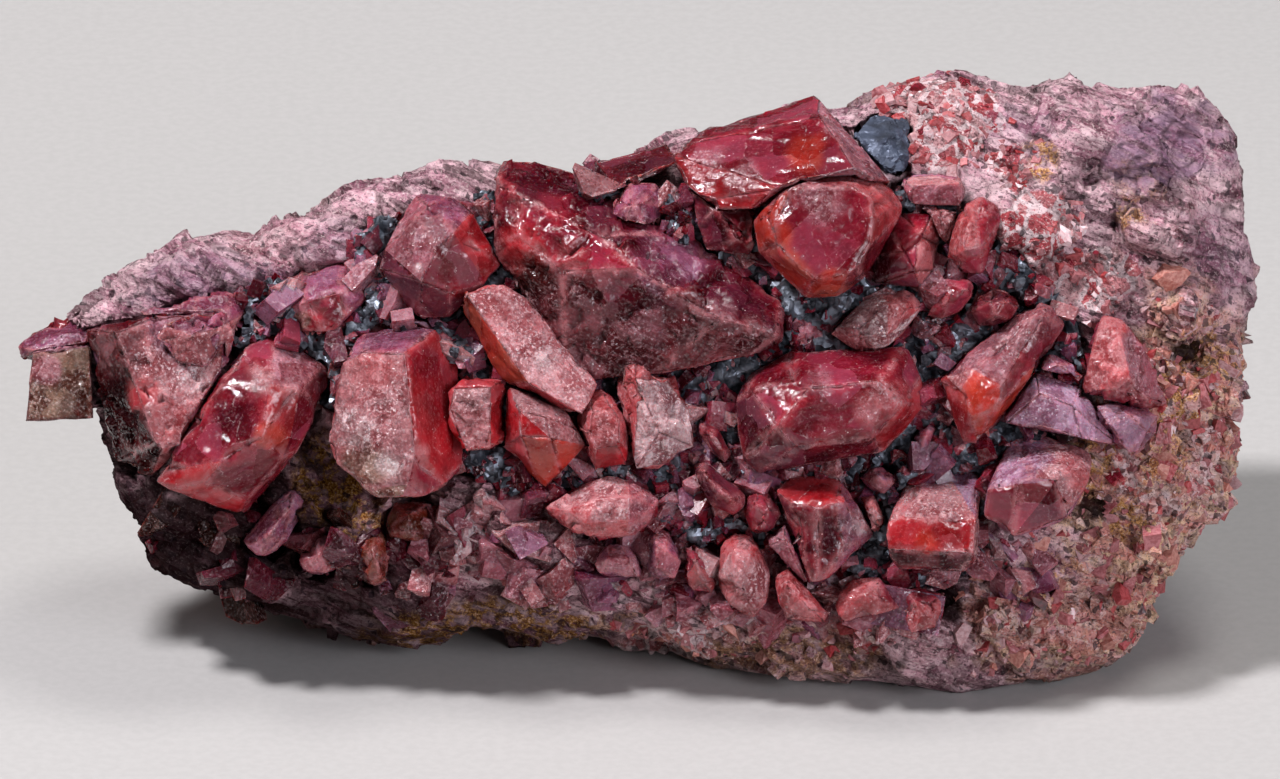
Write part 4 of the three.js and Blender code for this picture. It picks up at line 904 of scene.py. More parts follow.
SPOTS: dict[str, list[Spot]] = {
    "tall_prism": [
        Spot(-30.5, 25.5, 4, Tone.TAN), Spot(-27.5, 26.5, 1.6, Tone.PALE, 0.35),
        Spot(-31.5, 30, 2.2, Tone.PALE, 0.35), Spot(-30, 36.5, 2.6, Tone.SALMON, 0.6),
        Spot(-23.5, 38, 2, Tone.CRIMSON, 0.7), Spot(-24.2, 27.5, 1.6, Tone.PALE, 0.25),
        Spot(-22, 34.5, 3.4, Tone.WINE, 0.5),
    ],
    "left_slab": [
        # The near-black spots at the left slab's left end are painted shade.
        Spot(-58.5, 30, 4.5, Tone.PAINTED_SHADE), Spot(-59.5, 35.5, 3, Tone.PAINTED_SHADE), Spot(-57.5, 39, 3, Tone.RUSSET),
        Spot(-52, 41, 3.5, Tone.MAUVE, 0.7), Spot(-52.5, 31, 2.5, Tone.SCARLET, 0.6),
        Spot(-55.5, 34.5, 2, Tone.SCARLET, 0.8), Spot(-50, 36, 2, Tone.PALE, 0.45),
    ],
    "split_fan_crystal": [
        # The small pale spots at -42.2, 36 and -39, 34.5 are painted glints.
        Spot(-42.2, 36, 1.6, Tone.PALE, 0.35), Spot(-48.5, 29.5, 3.2, Tone.CRIMSON),
        Spot(-45, 32.5, 3, Tone.WINE, 0.8), Spot(-39, 34.5, 1.4, Tone.PALE, 0.25),
        Spot(-44.5, 35, 2, Tone.CRIMSON), Spot(-41, 29.5, 1.6, Tone.ORANGE, 0.7),
    ],
    "band_crystal": [
        Spot(-11, 58.8, 4.2, Tone.WINE), Spot(-13.5, 55.5, 2.6, Tone.WINE, 0.8),
        Spot(-8, 54.5, 3, Tone.CRIMSON), Spot(-12, 51, 3, Tone.SCARLET, 0.8),
        Spot(-7.5, 50.5, 2, Tone.SALMON, 0.4), Spot(-11.5, 48, 2.8, Tone.BROWN, 0.7),
        Spot(-1, 45.5, 2.6, Tone.WINE, 0.8), Spot(2, 41.5, 2.2, Tone.ROSE, 0.4),
        # The small violet spot at 6, 48 is a painted glint.
        Spot(6, 48, 0.9, Tone.VIOLET, 0.4), Spot(-5, 56, 2, Tone.WINE), Spot(13, 41, 2.2, Tone.RUSSET),
        Spot(10, 43.5, 1.8, Tone.ROSE, 0.3), Spot(4, 49.5, 4.5, Tone.MAUVE, 0.6),
    ],
    "great_crystal_upper_tier": [
        Spot(19.5, 61.8, 2.6, Tone.ORANGE, 0.7), Spot(12.5, 58.5, 2, Tone.ROSE, 0.5),
        Spot(8.5, 60.5, 2.2, Tone.ROSE, 0.5), Spot(15.5, 64, 3, Tone.CRIMSON, 0.7),
        Spot(24, 65, 2.4, Tone.ROSE, 0.8),
    ],
    "great_crystal_lower_tier": [
        Spot(15, 52.5, 2.4, Tone.ORANGE, 0.8), Spot(18, 47.5, 2.4, Tone.ORANGE, 0.8),
        Spot(22.5, 46.3, 2, Tone.ORANGE, 0.7), Spot(21, 56, 3, Tone.ROSE, 0.6),
        Spot(24, 52, 2.2, Tone.CRIMSON, 0.8), Spot(28.5, 55.5, 2.2, Tone.SALMON, 0.7),
    ],
    "ruby_block": [
        Spot(-24.3, 48.6, 0.8, Tone.PALE), Spot(-22.5, 53, 2.2, Tone.ROSE, 0.8),
        Spot(-18, 51, 2, Tone.SCARLET, 0.8),
    ],
    "central_crystal": [
        Spot(26.5, 32.5, 2, Tone.SALMON, 0.6), Spot(21, 35.5, 1.6, Tone.ROSE, 0.5),
        Spot(29, 34, 2, Tone.SALMON, 0.5), Spot(24, 29, 2.6, Tone.CRIMSON, 0.8),
    ],
    "long_red_prism": [Spot(38.8, 34, 1.8, Tone.ORANGE, 0.9), Spot(46, 43, 3, Tone.ROSE, 0.8)],
    "striped_prism": [
        Spot(33.5, 21, 1.6, Tone.FROST, 0.6), Spot(33, 17.4, 1.6, Tone.ORANGE, 0.7),
        Spot(33, 25.3, 2, Tone.MAUVE, 0.7),
    ],
    "pink_lath": [Spot(-15.5, 43.5, 1.6, Tone.SALMON, 0.6), Spot(-10, 38.5, 1.6, Tone.HOAR, 0.7)],
    # The violet patch on the violet block's top is partly a painted sheen.
    "violet_block": [Spot(50.5, 24.5, 1.4, Tone.SALMON, 0.8), Spot(45, 27.5, 2.4, Tone.VIOLET, 0.9)],
    "wine_prism": [
        Spot(20.5, 24, 2.6, Tone.SCARLET, 0.9), Spot(26, 20, 1.6, Tone.HOAR, 0.6),
        Spot(18.5, 18.5, 1.8, Tone.CRIMSON),
    ],
    "grey_rose_crystal": [Spot(-10.5, 25.5, 1.8, Tone.ORANGE, 0.8)],
    "upper_left_lens": [Spot(-35.5, 41.5, 2.4, Tone.SCARLET, 0.5), Spot(-37.5, 42.8, 0.9, Tone.TAN)],
    "end_block": [Spot(-66.5, 37, 1.8, Tone.ROSE, 0.7), Spot(-63, 33, 2.2, Tone.BROWN, 0.7)],
}
# The patches of each crystal, in the order that they are laid. Most are the crystal's own colour; the small
# pale spots on the split fan crystal and the small violet one on the band crystal are painted glints, and the
# near-black spots on the left slab are painted shade.
"""The patches of each crystal, in the order that they are laid."""

BROKEN_CRYSTALS = {
    "band_crystal", "left_slab", "left_lobe", "striated_step", "upper_left_lens", "end_slab", "stepped_cube",
    "lower_fan_crystal", "salmon_wedge", "grey_slab", "white_frosted_lath",
}
"""Crystals whose faces are broken rather than grown."""


def search_tree(places: Array, numbers: Array) -> kdtree.KDTree:
    """Makes a search tree over some places.

    Args:
        places: an array of shape (n, 3), in mm.
        numbers: which of them.

    Returns:
        The tree.
    """
    tree = kdtree.KDTree(len(numbers))
    for i in numbers:
        tree.insert(places[i], int(i))
    tree.balance()
    return tree


def unit(arrows: Array) -> Array:
    """The arrows, each made 1 long."""
    return arrows / np.maximum(np.linalg.norm(arrows, axis=1), 1e-9)[:, None]


@dataclass
class Crystal:
    """One crystal: a solid given chipped edges, growth steps and the tones of its faces. Sizes are in mm."""

    node: str
    slot: str
    material: bpy.types.Material
    seed: int
    bevel: float = 0.28
    longest_edge: float = 0.42
    chip: float = 0.75
    step_height: float = 0.12
    broken: float = 0.05
    swell: float = 0.22
    ripple: float = 0.07
    sharp_angle: float = math.radians(9)
    side_facing: float = 0.05  # how far a face must look the way the whole face does, or it is a side
    front_facing: float = 0.45

    def tones(self, centres: Array, normals: Array) -> list[Tone]:
        """Chooses each flat face's tone.

        Args:
            centres: the faces' middles, in mm.
            normals: the faces' normals.

        Returns:
            One tone a face.
        """
        front, side = FRONT_TONES[self.slot]
        anchors = FACE_TONES.get(self.node, [])
        chosen = []
        for (u, v, _), facing in zip(to_face(centres), normals @ OUTWARD):
            if facing < self.side_facing:
                chosen.append(side)
            elif anchors:
                away = [(anchor_u - u) ** 2 + (anchor_v - v) ** 2 for anchor_u, anchor_v, _ in anchors]
                chosen.append(anchors[away.index(min(away))][2])
            else:
                chosen.append(front if facing > self.front_facing else side)
        return chosen

    def build(self) -> bpy.types.Object:
        """Builds the crystal in place of its solid.

        Returns:
            Its object.
        """
        shape = merged_copy(frame["nodes"][self.node])
        shape.normal_update()
        owner = shape.faces.layers.int.new("owner")
        flat = list(shape.faces)
        middles = np.array([f.calc_center_median() for f in flat]) / MM
        tones = self.tones(middles, np.array([f.normal for f in flat]))
        for number, face in enumerate(flat):
            face[owner] = number
        bevelled = bmesh.ops.bevel(
            shape,
            geom=[e for e in shape.edges if e.calc_face_angle(0) > self.sharp_angle],
            offset=self.bevel * MM,
            offset_type="OFFSET",
            affect="EDGES",
            segments=2,
            profile=0.5,
            material=-1,
            clamp_overlap=True,
        )
        for face in bevelled["faces"]:
            face[owner] = -1
        subdivide_to(shape, self.longest_edge)
        bmesh.ops.recalc_face_normals(shape, faces=shape.faces)
        owners = np.array([f[owner] for f in shape.faces])
        rims = {v.index for f in shape.faces if f[owner] < 0 for v in f.verts}
        shape.faces.layers.int.remove(owner)
        mesh = bpy.data.meshes.new(self.node)
        shape.to_mesh(mesh)
        shape.free()
        self.weather(mesh, np.array(sorted(rims)))
        self.paint(mesh, owners, tones)
        shade(mesh, smooth=True)
        return finished(f"weathered_{self.node}", mesh, self.material, self.slot, self.node)

    def weather(self, mesh: bpy.types.Mesh, rims: Array) -> None:
        """Chips the edges, steps the faces and keeps how near each point is to an edge.

        Args:
            mesh: the crystal's mesh.
            rims: the numbers of the vertices on its edges.
        """
        points, normals = vertex_places(mesh), vertex_normals(mesh)
        tree = search_tree(points, rims)
        reach = np.array([tree.find(p)[2] for p in points])
        # An edge is chipped back along facets 1.5 mm wide, by more in some stretches of it than in others.
        worn = self.chip * (0.3 + np.clip(cloud(points, 2.6, self.seed), 0, 1) * 2.2)
        bite = facets(points, 1.5, 0.5, 0.4, self.seed + 20).relief
        chipped = np.clip(1 - reach / (worn + 0.05), 0, 1) ** 1.3 * worn * (0.55 + 0.3 * bite)
        # A face has growth steps, longer than they are wide, and breaks up where it is broken, but less near
        # an edge. The whole crystal is a little out of true.
        stretched = points * np.array([0.55, 1.0, 1.0])
        steps = facets(stretched, 3.4, self.step_height, 0.012, self.seed + 40).relief
        breaks = facets(points, 2.3, self.broken, self.broken, self.seed + 80).relief
        bent = self.swell * cloud(points, 6.0, self.seed + 60)
        bent += self.ripple * cloud(points, 1.8, self.seed + 61)
        moved = (steps + breaks) * ramp(reach, 0.1, 0.7) + bent - chipped
        move_vertices(mesh, points + normals * moved[:, None])
        store_number(mesh, "edge", np.clip(1 - reach / (0.25 + 0.5 * worn), 0, 1))
        store_number(mesh, "rim", np.exp(-reach / 1.4))

    def paint(self, mesh: bpy.types.Mesh, owners: Array, tones: list[Tone]) -> None:
        """Keeps each face's tone, and a map along it for its striations.

        Args:
            mesh: the crystal's mesh.
            owners: for each triangle the flat face that it came from, or -1 on an edge.
            tones: the tone of each flat face.
        """
        points, corners = vertex_places(mesh), triangle_corners(mesh)
        palette = np.array([t.colour for t in tones] + [Tone.SALMON.colour])
        frosts = np.array([t.frost for t in tones] + [0.35])
        random = np.random.default_rng(self.seed)
        shades = np.append(random.uniform(0.82, 1.18, len(tones)), 1.0)
        colours = palette[owners] * shades[owners, None]
        middles = points[corners].mean(1)
        tree = search_tree(middles, np.flatnonzero(owners >= 0))
        for i in np.flatnonzero(owners < 0):
            colours[i] = colours[tree.find(middles[i])[1]]
        colours = np.repeat(colours, 3, axis=0)
        frosted = np.repeat(frosts[owners], 3)
        places = to_face(points[corners.ravel()])
        ragged = 0.4 * cloud(points, 2.2, self.seed + 5)[corners.ravel()]
        for spot in SPOTS.get(self.node, []):
            away = np.hypot(places[:, 0] - spot.u, places[:, 1] - spot.v) / spot.radius
            share = spot.strength * ramp(1.2 - away + ragged, 0.0, 0.6)
            colours += share[:, None] * (np.array(spot.tone.colour) - colours)
            frosted += share * (spot.tone.frost - frosted)
        colours[:, 3] = 1
        store_look(mesh, colours, frosted, self.striation_map(points, corners, owners))

    def striation_map(self, points: Array, corners: Array, owners: Array) -> Array:
        """A map in cm whose first direction runs the crystal's length along each flat face.

        Args:
            points: the vertices, in mm.
            corners: the vertex numbers of each triangle.
            owners: for each triangle the flat face that it came from, or -1 on an edge.

        Returns:
            Two numbers for each corner of each triangle.
        """
        centred = points - points.mean(0)
        axis = np.linalg.svd(centred, full_matrices=False)[2][0]
        a, b, c = (points[corners[:, k]] for k in range(3))
        sides = unit(np.cross(b - a, c - a))
        for number in range(owners.max() + 1):
            own = owners == number
            if own.any():
                sides[own] = sides[own].mean(0)
        sides = unit(sides)
        lengthwise = axis - sides * (sides @ axis)[:, None]
        short = np.linalg.norm(lengthwise, axis=1) < 0.2
        lengthwise[short] = np.cross(sides[short], [0.3, 0.9, 0.1])
        lengthwise = unit(lengthwise)
        placed = centred[corners]
        directions = (lengthwise, np.cross(sides, lengthwise))
        return np.stack([(placed * direction[:, None]).sum(2) for direction in directions], 2) / MM_A_CM


# -------------------------------------------------------------------------------- the massive stone


@dataclass(frozen=True)
class Patch:
    """A soft-edged oval on the specimen's face: its middle and half-sizes in mm, and its strength."""

    u: float
    v: float
    wide: float
    high: float
    strength: float = 1.0


def patchwork(points: Array, patches: list[Patch], seed: int) -> Array:
    """How strongly some patches cover each point, with ragged edges. They fade out behind the face.

    Args:
        points: places in the row frame, in mm.
        patches: the patches.
        seed: which ragged edge.

    Returns:
        A number from 0 to 1 for each point.
    """
    on_face = to_face(points)
    ragged = 0.35 * cloud(points, 5.0, seed) + 0.3 * cloud(points, 1.8, seed + 1)
    total = np.zeros(len(points))
    for patch in patches:
        distance = np.hypot((on_face[:, 0] - patch.u) / patch.wide, (on_face[:, 1] - patch.v) / patch.high)
        total = np.maximum(total, patch.strength * ramp(1.25 - distance + ragged, 0.0, 0.55))
    return total * ramp(on_face[:, 2], BACK_DEPTH, FRONT_DEPTH)


ZONES: dict[str, list[Patch]] = {
    "pale": [
        Patch(35, 65, 5.5, 5.5), Patch(46, 53, 5, 3.6), Patch(51, 47, 5, 3.5, 0.9),
        Patch(43, 60, 3, 3, 0.6), Patch(60, 30, 7, 9, 0.4), Patch(4, 6, 7, 2.5, 0.5),
        Patch(27, 7, 6, 2.5, 0.35), Patch(47, 11, 7, 6, 0.3),
    ],
    "red": [
        Patch(33, 63, 4, 4, 0.5), Patch(44, 51, 5, 4, 0.7), Patch(55, 47, 5, 3, 0.5),
        Patch(-30, 18, 8, 7, 0.5), Patch(-10, 18, 14, 7, 0.55), Patch(25, 8, 12, 4, 0.5),
        Patch(48, 9, 10, 5, 0.7), Patch(-44, 20, 8, 6, 0.4), Patch(57, 14, 3, 4, 0.5),
        Patch(63, 22, 3, 4, 0.4), Patch(60, 49, 6, 8, 0.4), Patch(-40, 50, 8, 4, 0.35),
        Patch(0, 59, 8, 3, 0.6),
    ],
    "tan": [
        Patch(62, 30, 9, 14), Patch(57, 18, 8, 12), Patch(48, 8, 12, 6, 0.8), Patch(52, 24, 6, 6),
        Patch(12, 5, 14, 3, 0.5),
    ],
    "violet": [
        Patch(61, 63, 7, 4.5), Patch(-46, 46, 9, 4, 0.6), Patch(-30, 51, 8, 3, 0.5),
        Patch(-68, 41, 4, 3, 0.6), Patch(52, 36, 4, 3, 0.5), Patch(66, 50, 4, 6, 0.4),
        Patch(44, 64, 4, 3, 0.35),
    ],
    "ochre": [
        Patch(-34.5, 25, 4, 7, 1), Patch(-31, 19, 3, 4, 0.8), Patch(46.5, 61, 2.2, 2.2, 0.9),
        Patch(57, 55, 2.5, 2, 0.7), Patch(60, 34, 4, 5, 0.9), Patch(65, 38, 3, 4, 0.8),
        Patch(52, 27, 3, 3, 0.8), Patch(56, 20, 3, 3, 0.8), Patch(60, 27, 3, 4, 0.7),
        Patch(47, 13, 2.5, 2.5, 0.8), Patch(-15, 8, 14, 2.5, 0.9), Patch(-37, 43, 2, 2, 0.8),
        Patch(48, 15, 4, 3, 0.5), Patch(-26, 24, 4, 2, 0.7), Patch(58, 58, 4, 3, 0.35),
        Patch(20, 5, 12, 2, 0.5),
    ],
    # Partly a skin of oxides, partly painted shade along the lower rim, at the lower left and in cavities.
    "dark": [
        Patch(-47, 17, 15, 11), Patch(-35, 23, 6, 9, 0.7), Patch(-32, 12, 12, 7, 0.9),
        Patch(-20, 9, 20, 4, 0.6), Patch(49.5, 55, 3, 2, 0.5), Patch(53, 50, 2.5, 2.5, 0.45),
        Patch(61, 58, 1.5, 1.5, 0.5), Patch(-12, 20, 10, 8, 0.45), Patch(35.5, 10.5, 2, 2.6),
        Patch(52, 21.4, 1.8, 1.6), Patch(63.2, 39.4, 2, 1.6), Patch(-57, 27, 4, 12, 0.75),
        Patch(22, 5, 20, 3, 0.35), Patch(40, 3, 16, 2.5, 0.45), Patch(5, 22, 6, 5, 0.4),
    ],
}
# Where the stone's face is stained, or broken to a paler or redder grain. The dark zone is partly oxide stain
# and partly painted shade: over the lower left, along the lower rim and in small cavities.
"""Where the stone's face is stained, or broken to a paler or redder grain."""

BACK_STAINS = {"dark": 0.26, "red": 0.3}
"""How strongly a zone's stain covers all of the back."""


def store_zones(mesh: bpy.types.Mesh, points: Array) -> None:
    """Keeps on a mesh how strongly each zone covers its points.

    Args:
        mesh: the mesh.
        points: where each of its vertices takes its colour from, in mm.
    """
    behind = 1 - ramp(to_face(points)[:, 2], BACK_DEPTH, FRONT_DEPTH)
    for number, (name, patches) in enumerate(ZONES.items()):
        cover = patchwork(points, patches, 200 + 10 * number) + BACK_STAINS.get(name, 0.0) * behind
        clouds = cloud(points, 14.0, 300 + number) + 0.3 * cloud(points, 3.0, 310 + number)
        elsewhere = ramp(clouds, 0.15, 0.75)
        store_number(mesh, name, np.clip(cover + 0.55 * behind * elsewhere, 0, 1))


def neighbours_of(name: str) -> bvhtree.BVHTree:
    """Makes a search tree over all the solids but one.

    Args:
        name: the one that is left out.

    Returns:
        The tree.
    """
    shape = bmesh.new()
    for other, node in frame["nodes"].items():
        if other != name:
            shape.from_mesh(node.data)
    tree = bvhtree.BVHTree.FromBMesh(shape)
    shape.free()
    return tree


@dataclass
class MassiveStone:
    """The massive rhodonite: the granular broken mass that everything stands in. Sizes are in mm."""

    node: str = "massive_rhodonite"
    voxel: float = 1.1
    coarse: float = 7.0
    medium: float = 2.8
    fine: float = 1.1
    socket_gap: float = 0.6
    sight_depth: float = -19.0  # the w behind which the stone is out of sight
    sight_facing: float = -0.15

    def in_sight(self, middles: Array, normals: Array) -> Array:
        """Which faces are on the crystal-bearing side and not in a socket.

        Args:
            middles: the faces' middles, in mm.
            normals: the faces' normals.

        Returns:
            True or False for each face.
        """
        others = neighbours_of(self.node)
        wanted = (to_face(middles)[:, 2] > self.sight_depth) & (normals @ OUTWARD > self.sight_facing)
        for i in np.flatnonzero(wanted):
            wanted[i] = others.find_nearest(Vector(middles[i]) * MM, self.socket_gap * MM)[0] is None
        return wanted

    def build(self) -> bpy.types.Object:
        """Builds the stone in place of its solid: its cleavage cells are long down the dip of its grain.

        Returns:
            Its object.
        """
        mesh = remeshed(frame["nodes"][self.node], self.voxel, self.in_sight)
        points, normals = vertex_places(mesh), vertex_normals(mesh)
        u, v, w = to_face(points).T
        sine, cosine = math.sin(FOLIATION), math.cos(FOLIATION)
        stretched = np.stack([0.5 * (u * cosine - v * sine), u * sine + v * cosine, w], 1)
        big = facets(stretched, self.coarse, 0.75, 0.24, 101)
        mid = facets(stretched, self.medium, 0.3, 0.26, 131)
        small = facets(points, self.fine, 0.09, 0.2, 161)
        rough = 0.65 + 0.35 * cloud(points, 12.0, 7)
        relief = np.clip(big.relief, -1.3, 1.3) + np.clip((mid.relief + small.relief) * rough, -0.7, 0.7)
        held = ramp(points[:, 2], 0.1, 1.6)  # the base stays flat on the floor
        moved = points + normals * (relief * held)[:, None]
        moved[:, 2] = np.maximum(moved[:, 2], 0.0)
        move_vertices(mesh, moved)
        store_zones(mesh, points)
        store_number(mesh, "chance", mid.chance)
        store_number(mesh, "seam", np.minimum(mid.seam, big.seam))
        return finished(f"{self.node}_stone", mesh, MassiveFinish().make(), self.node, self.node)


@dataclass
class GalenaMass:
    """A mass of galena, stepped by its cubic cleavage. Sizes are in mm."""

    node: str
    material: bpy.types.Material
    voxel: float = 0.5
    roughness: float = 1.0

    def build(self) -> bpy.types.Object:
        """Builds the galena in place of its solid.

        Returns:
            Its object.
        """
        mesh = remeshed(frame["nodes"][self.node], self.voxel)
        points, normals = vertex_places(mesh), vertex_normals(mesh)
        relief = facets(points, 3.0, 0.5, 0.25, 401).relief + facets(points, 1.2, 0.22, 0.25, 431).relief
        move_vertices(mesh, points + normals * (self.roughness * relief)[:, None])
        shade(mesh, smooth=False)
        return finished(f"{self.node}_metal", mesh, self.material, "galena", self.node)


# ------------------------------------------------------------------------------------------- grains

KINDS_OF_GRAIN = 12
CUTS_A_GRAIN = 4
SLANTED_VIEW = np.array([[1, 0], [0.3, 1], [0.2, 0.8]])  # turns a grain's own places to its map's
MAP_STEP = 7  # how far on each grain's map starts from the last one's, in mm


def grain_shapes(count: int, seed: int) -> list[tuple[Array, Array]]:
    """Makes some cleavage grains: cubes with slices taken off.

    Args:
        count: how many shapes.
        seed: which shapes.

    Returns:
        For each its vertices, about 1 across, and its triangles.
    """
    random = np.random.default_rng(seed)
    made = []
    for _ in range(count):
        grain = bmesh.new()
        bmesh.ops.create_cube(grain, size=1.0)
        for _ in range(CUTS_A_GRAIN):
            facing = Vector(random.normal(size=3)).normalized()
            bmesh.ops.bisect_plane(
                grain,
                geom=grain.verts[:] + grain.edges[:] + grain.faces[:],
                plane_co=facing * random.uniform(0.3, 0.46),
                plane_no=facing,
                clear_outer=True,
            )
            open_edges = [e for e in grain.edges if e.is_boundary]
            if open_edges:
                bmesh.ops.contextual_create(grain, geom=open_edges)
        bmesh.ops.triangulate(grain, faces=grain.faces)
        bmesh.ops.recalc_face_normals(grain, faces=grain.faces)
        grain.verts.index_update()
        triangles = np.array([[v.index for v in f.verts] for f in grain.faces])
        made.append((np.array([v.co for v in grain.verts]), triangles))
        grain.free()
    return made


def random_turns(random: np.random.Generator, count: int, loose: float) -> Array:
    """Rotation matrices about a common one.

    Args:
        random: where the numbers come from.
        count: how many.
        loose: how far they stray from the common one: 0 for none, and 3 or more for no favoured direction.

    Returns:
        An array of shape (count, 3, 3).
    """
    common = np.array([0.92, 0.2, 0.28, 0.18])
    w, x, y, z = unit(common + loose * random.normal(size=(count, 4))).T
    rows = (
        (1 - 2 * (y * y + z * z), 2 * (x * y - z * w), 2 * (x * z + y * w)),
        (2 * (x * y + z * w), 1 - 2 * (x * x + z * z), 2 * (y * z - x * w)),
        (2 * (x * z - y * w), 2 * (y * z + x * w), 1 - 2 * (x * x + y * y)),
    )
    return np.stack([np.stack(row, 1) for row in rows], 1)


@dataclass(frozen=True)
class Cover:
    """Where grains grow: in front of a depth, and there in patches, or thinly elsewhere."""

    back: float = -22.0
    front: float = -12.0
    patches: tuple[Patch, ...] = ()
    thin: float = 0.0

    def weigh(self, points: Array, seed: int) -> Array:
        """How thickly grains stand at each place.

        Args:
            points: places in mm.
            seed: which ragged edge the patches have.

        Returns:
            A number above 0 for each place.
        """
        least = 1e-9
        near = ramp(to_face(points)[:, 2], self.back, self.front) + least
        if not self.patches:
            return near
        return near * (self.thin + patchwork(points, self.patches, seed)) + least


@dataclass(frozen=True)
class Grains:
    """A crop of small grains half sunk in a surface. Sizes are in mm.

    Grains near the smaller of the two sizes are commoner than larger ones. A grain is sunk by a share of its
    size, made longer by up to `stretch`, and turned as random_turns does by `loose`. With no tones, it takes
    its colour from the stone's zones.
    """

    name: str
    slot: str
    material: str
    count: int
    size: tuple[float, float]
    seed: int
    cover: Cover
    tones: dict[Tone, float] = field(default_factory=dict)
    sunk: float = 0.25
    stretch: float = 1.0
    loose: float = 3.0

    def draw_tones(self, random: np.random.Generator) -> list[Tone]:
        """Draws the grains' tones in their shares.

        Args:
            random: where the numbers come from.

        Returns:
            One tone a grain.
        """
        if not self.tones:
            return [Tone.ROSE] * self.count
        shares = np.array(list(self.tones.values()))
        names = list(self.tones)
        return [names[k] for k in random.choice(len(names), self.count, p=shares / shares.sum())]

    def scatter(self, ground: bpy.types.Object, random: np.random.Generator) -> tuple[Array, Array]:
        """Draws where the grains are and how large.

        Args:
            ground: the piece that they grow on.
            random: where the numbers come from.

        Returns:
            Their middles, sunk in the surface, and their sizes, in mm.
        """
        points, corners = vertex_places(ground.data), triangle_corners(ground.data)
        a, b, c = (points[corners[:, k]] for k in range(3))
        sides = np.cross(b - a, c - a)
        areas = np.linalg.norm(sides, axis=1)
        middles = (a + b + c) / 3
        off_the_floor = middles[:, 2] > self.size[1]
        weights = areas * self.cover.weigh(middles, self.seed) * off_the_floor
        chosen = random.choice(len(corners), self.count, p=weights / weights.sum())
        share = random.random((self.count, 2))
        share = np.where(share.sum(1)[:, None] > 1, 1 - share, share)
        places = a[chosen] + share[:, :1] * (b - a)[chosen] + share[:, 1:] * (c - a)[chosen]
        outward = sides[chosen] / np.maximum(areas[chosen], 1e-9)[:, None]
        sizes = self.size[0] + (self.size[1] - self.size[0]) * random.random(self.count) ** 2.2
        return places - outward * (self.sunk * sizes)[:, None], sizes

    def build(self, ground: bpy.types.Object, material: bpy.types.Material) -> bpy.types.Object:
        """Scatters the grains over a piece and joins them in one mesh.

        Args:
            ground: the piece that they grow on.
            material: their material.

        Returns:
            The object.
        """
        random = np.random.default_rng(self.seed)
        places, sizes = self.scatter(ground, random)
        tones = self.draw_tones(random)
        turns = random_turns(random, self.count, self.loose)
        shapes = grain_shapes(KINDS_OF_GRAIN, self.seed + 1)
        kinds = random.integers(0, len(shapes), self.count)
        forms = np.stack([np.ones(self.count), *(0.6 + 0.5 * random.random((2, self.count)))], 1)
        forms[:, 0] *= 1 + self.stretch * random.random(self.count)
        vertices, triangles, colours, frosts, owners, maps, total = [], [], [], [], [], [], 0
        for i, tone in enumerate(tones):
            shape, faces = shapes[kinds[i]]
            grown = shape * forms[i] * sizes[i]
            vertices.append(grown @ turns[i].T + places[i])
            maps.append((grown[faces.ravel()] @ SLANTED_VIEW + MAP_STEP * i) / MM_A_CM)
            triangles.append(faces + total)
            total += len(shape)
            owners += [i] * len(shape)
            light = 0.8 + 0.4 * random.random()
            colours.append(np.tile(np.array(tone.colour) * [light, light, light, 1], (3 * len(faces), 1)))
            frosts.append(np.full(3 * len(faces), max(tone.frost, 0.35) * random.uniform(0.7, 1.3)))
        mesh = bpy.data.meshes.new(self.name)
        mesh.from_pydata((np.concatenate(vertices) * MM).tolist(), [], np.concatenate(triangles).tolist())
        if self.tones:
            store_look(mesh, np.concatenate(colours), np.concatenate(frosts), np.concatenate(maps))
        else:
            store_zones(mesh, places[owners])
            store_number(mesh, "chance", random.random(self.count)[owners])
            store_number(mesh, "seam", np.ones(total))
        return finished(self.name, mesh, material, self.slot)


LOWER_LEFT = (Patch(-44, 17, 10, 6), Patch(-24, 14, 9, 5))
LOWER_ROW = (Patch(-12, 17, 12, 6), Patch(5, 14, 12, 5), Patch(22, 11, 12, 4), Patch(42, 13, 6, 4))
POCKET_CROWD = (
    Patch(-36, 48, 10, 5), Patch(0, 27, 16, 9), Patch(14, 24, 9, 7), Patch(34, 45, 6, 6, 0.6),
    Patch(35, 31, 5, 6),
)
TAN_COVER = Cover(patches=tuple(ZONES["tan"]))
POCKET_COVER = Cover(back=-5.0, front=-2.0)

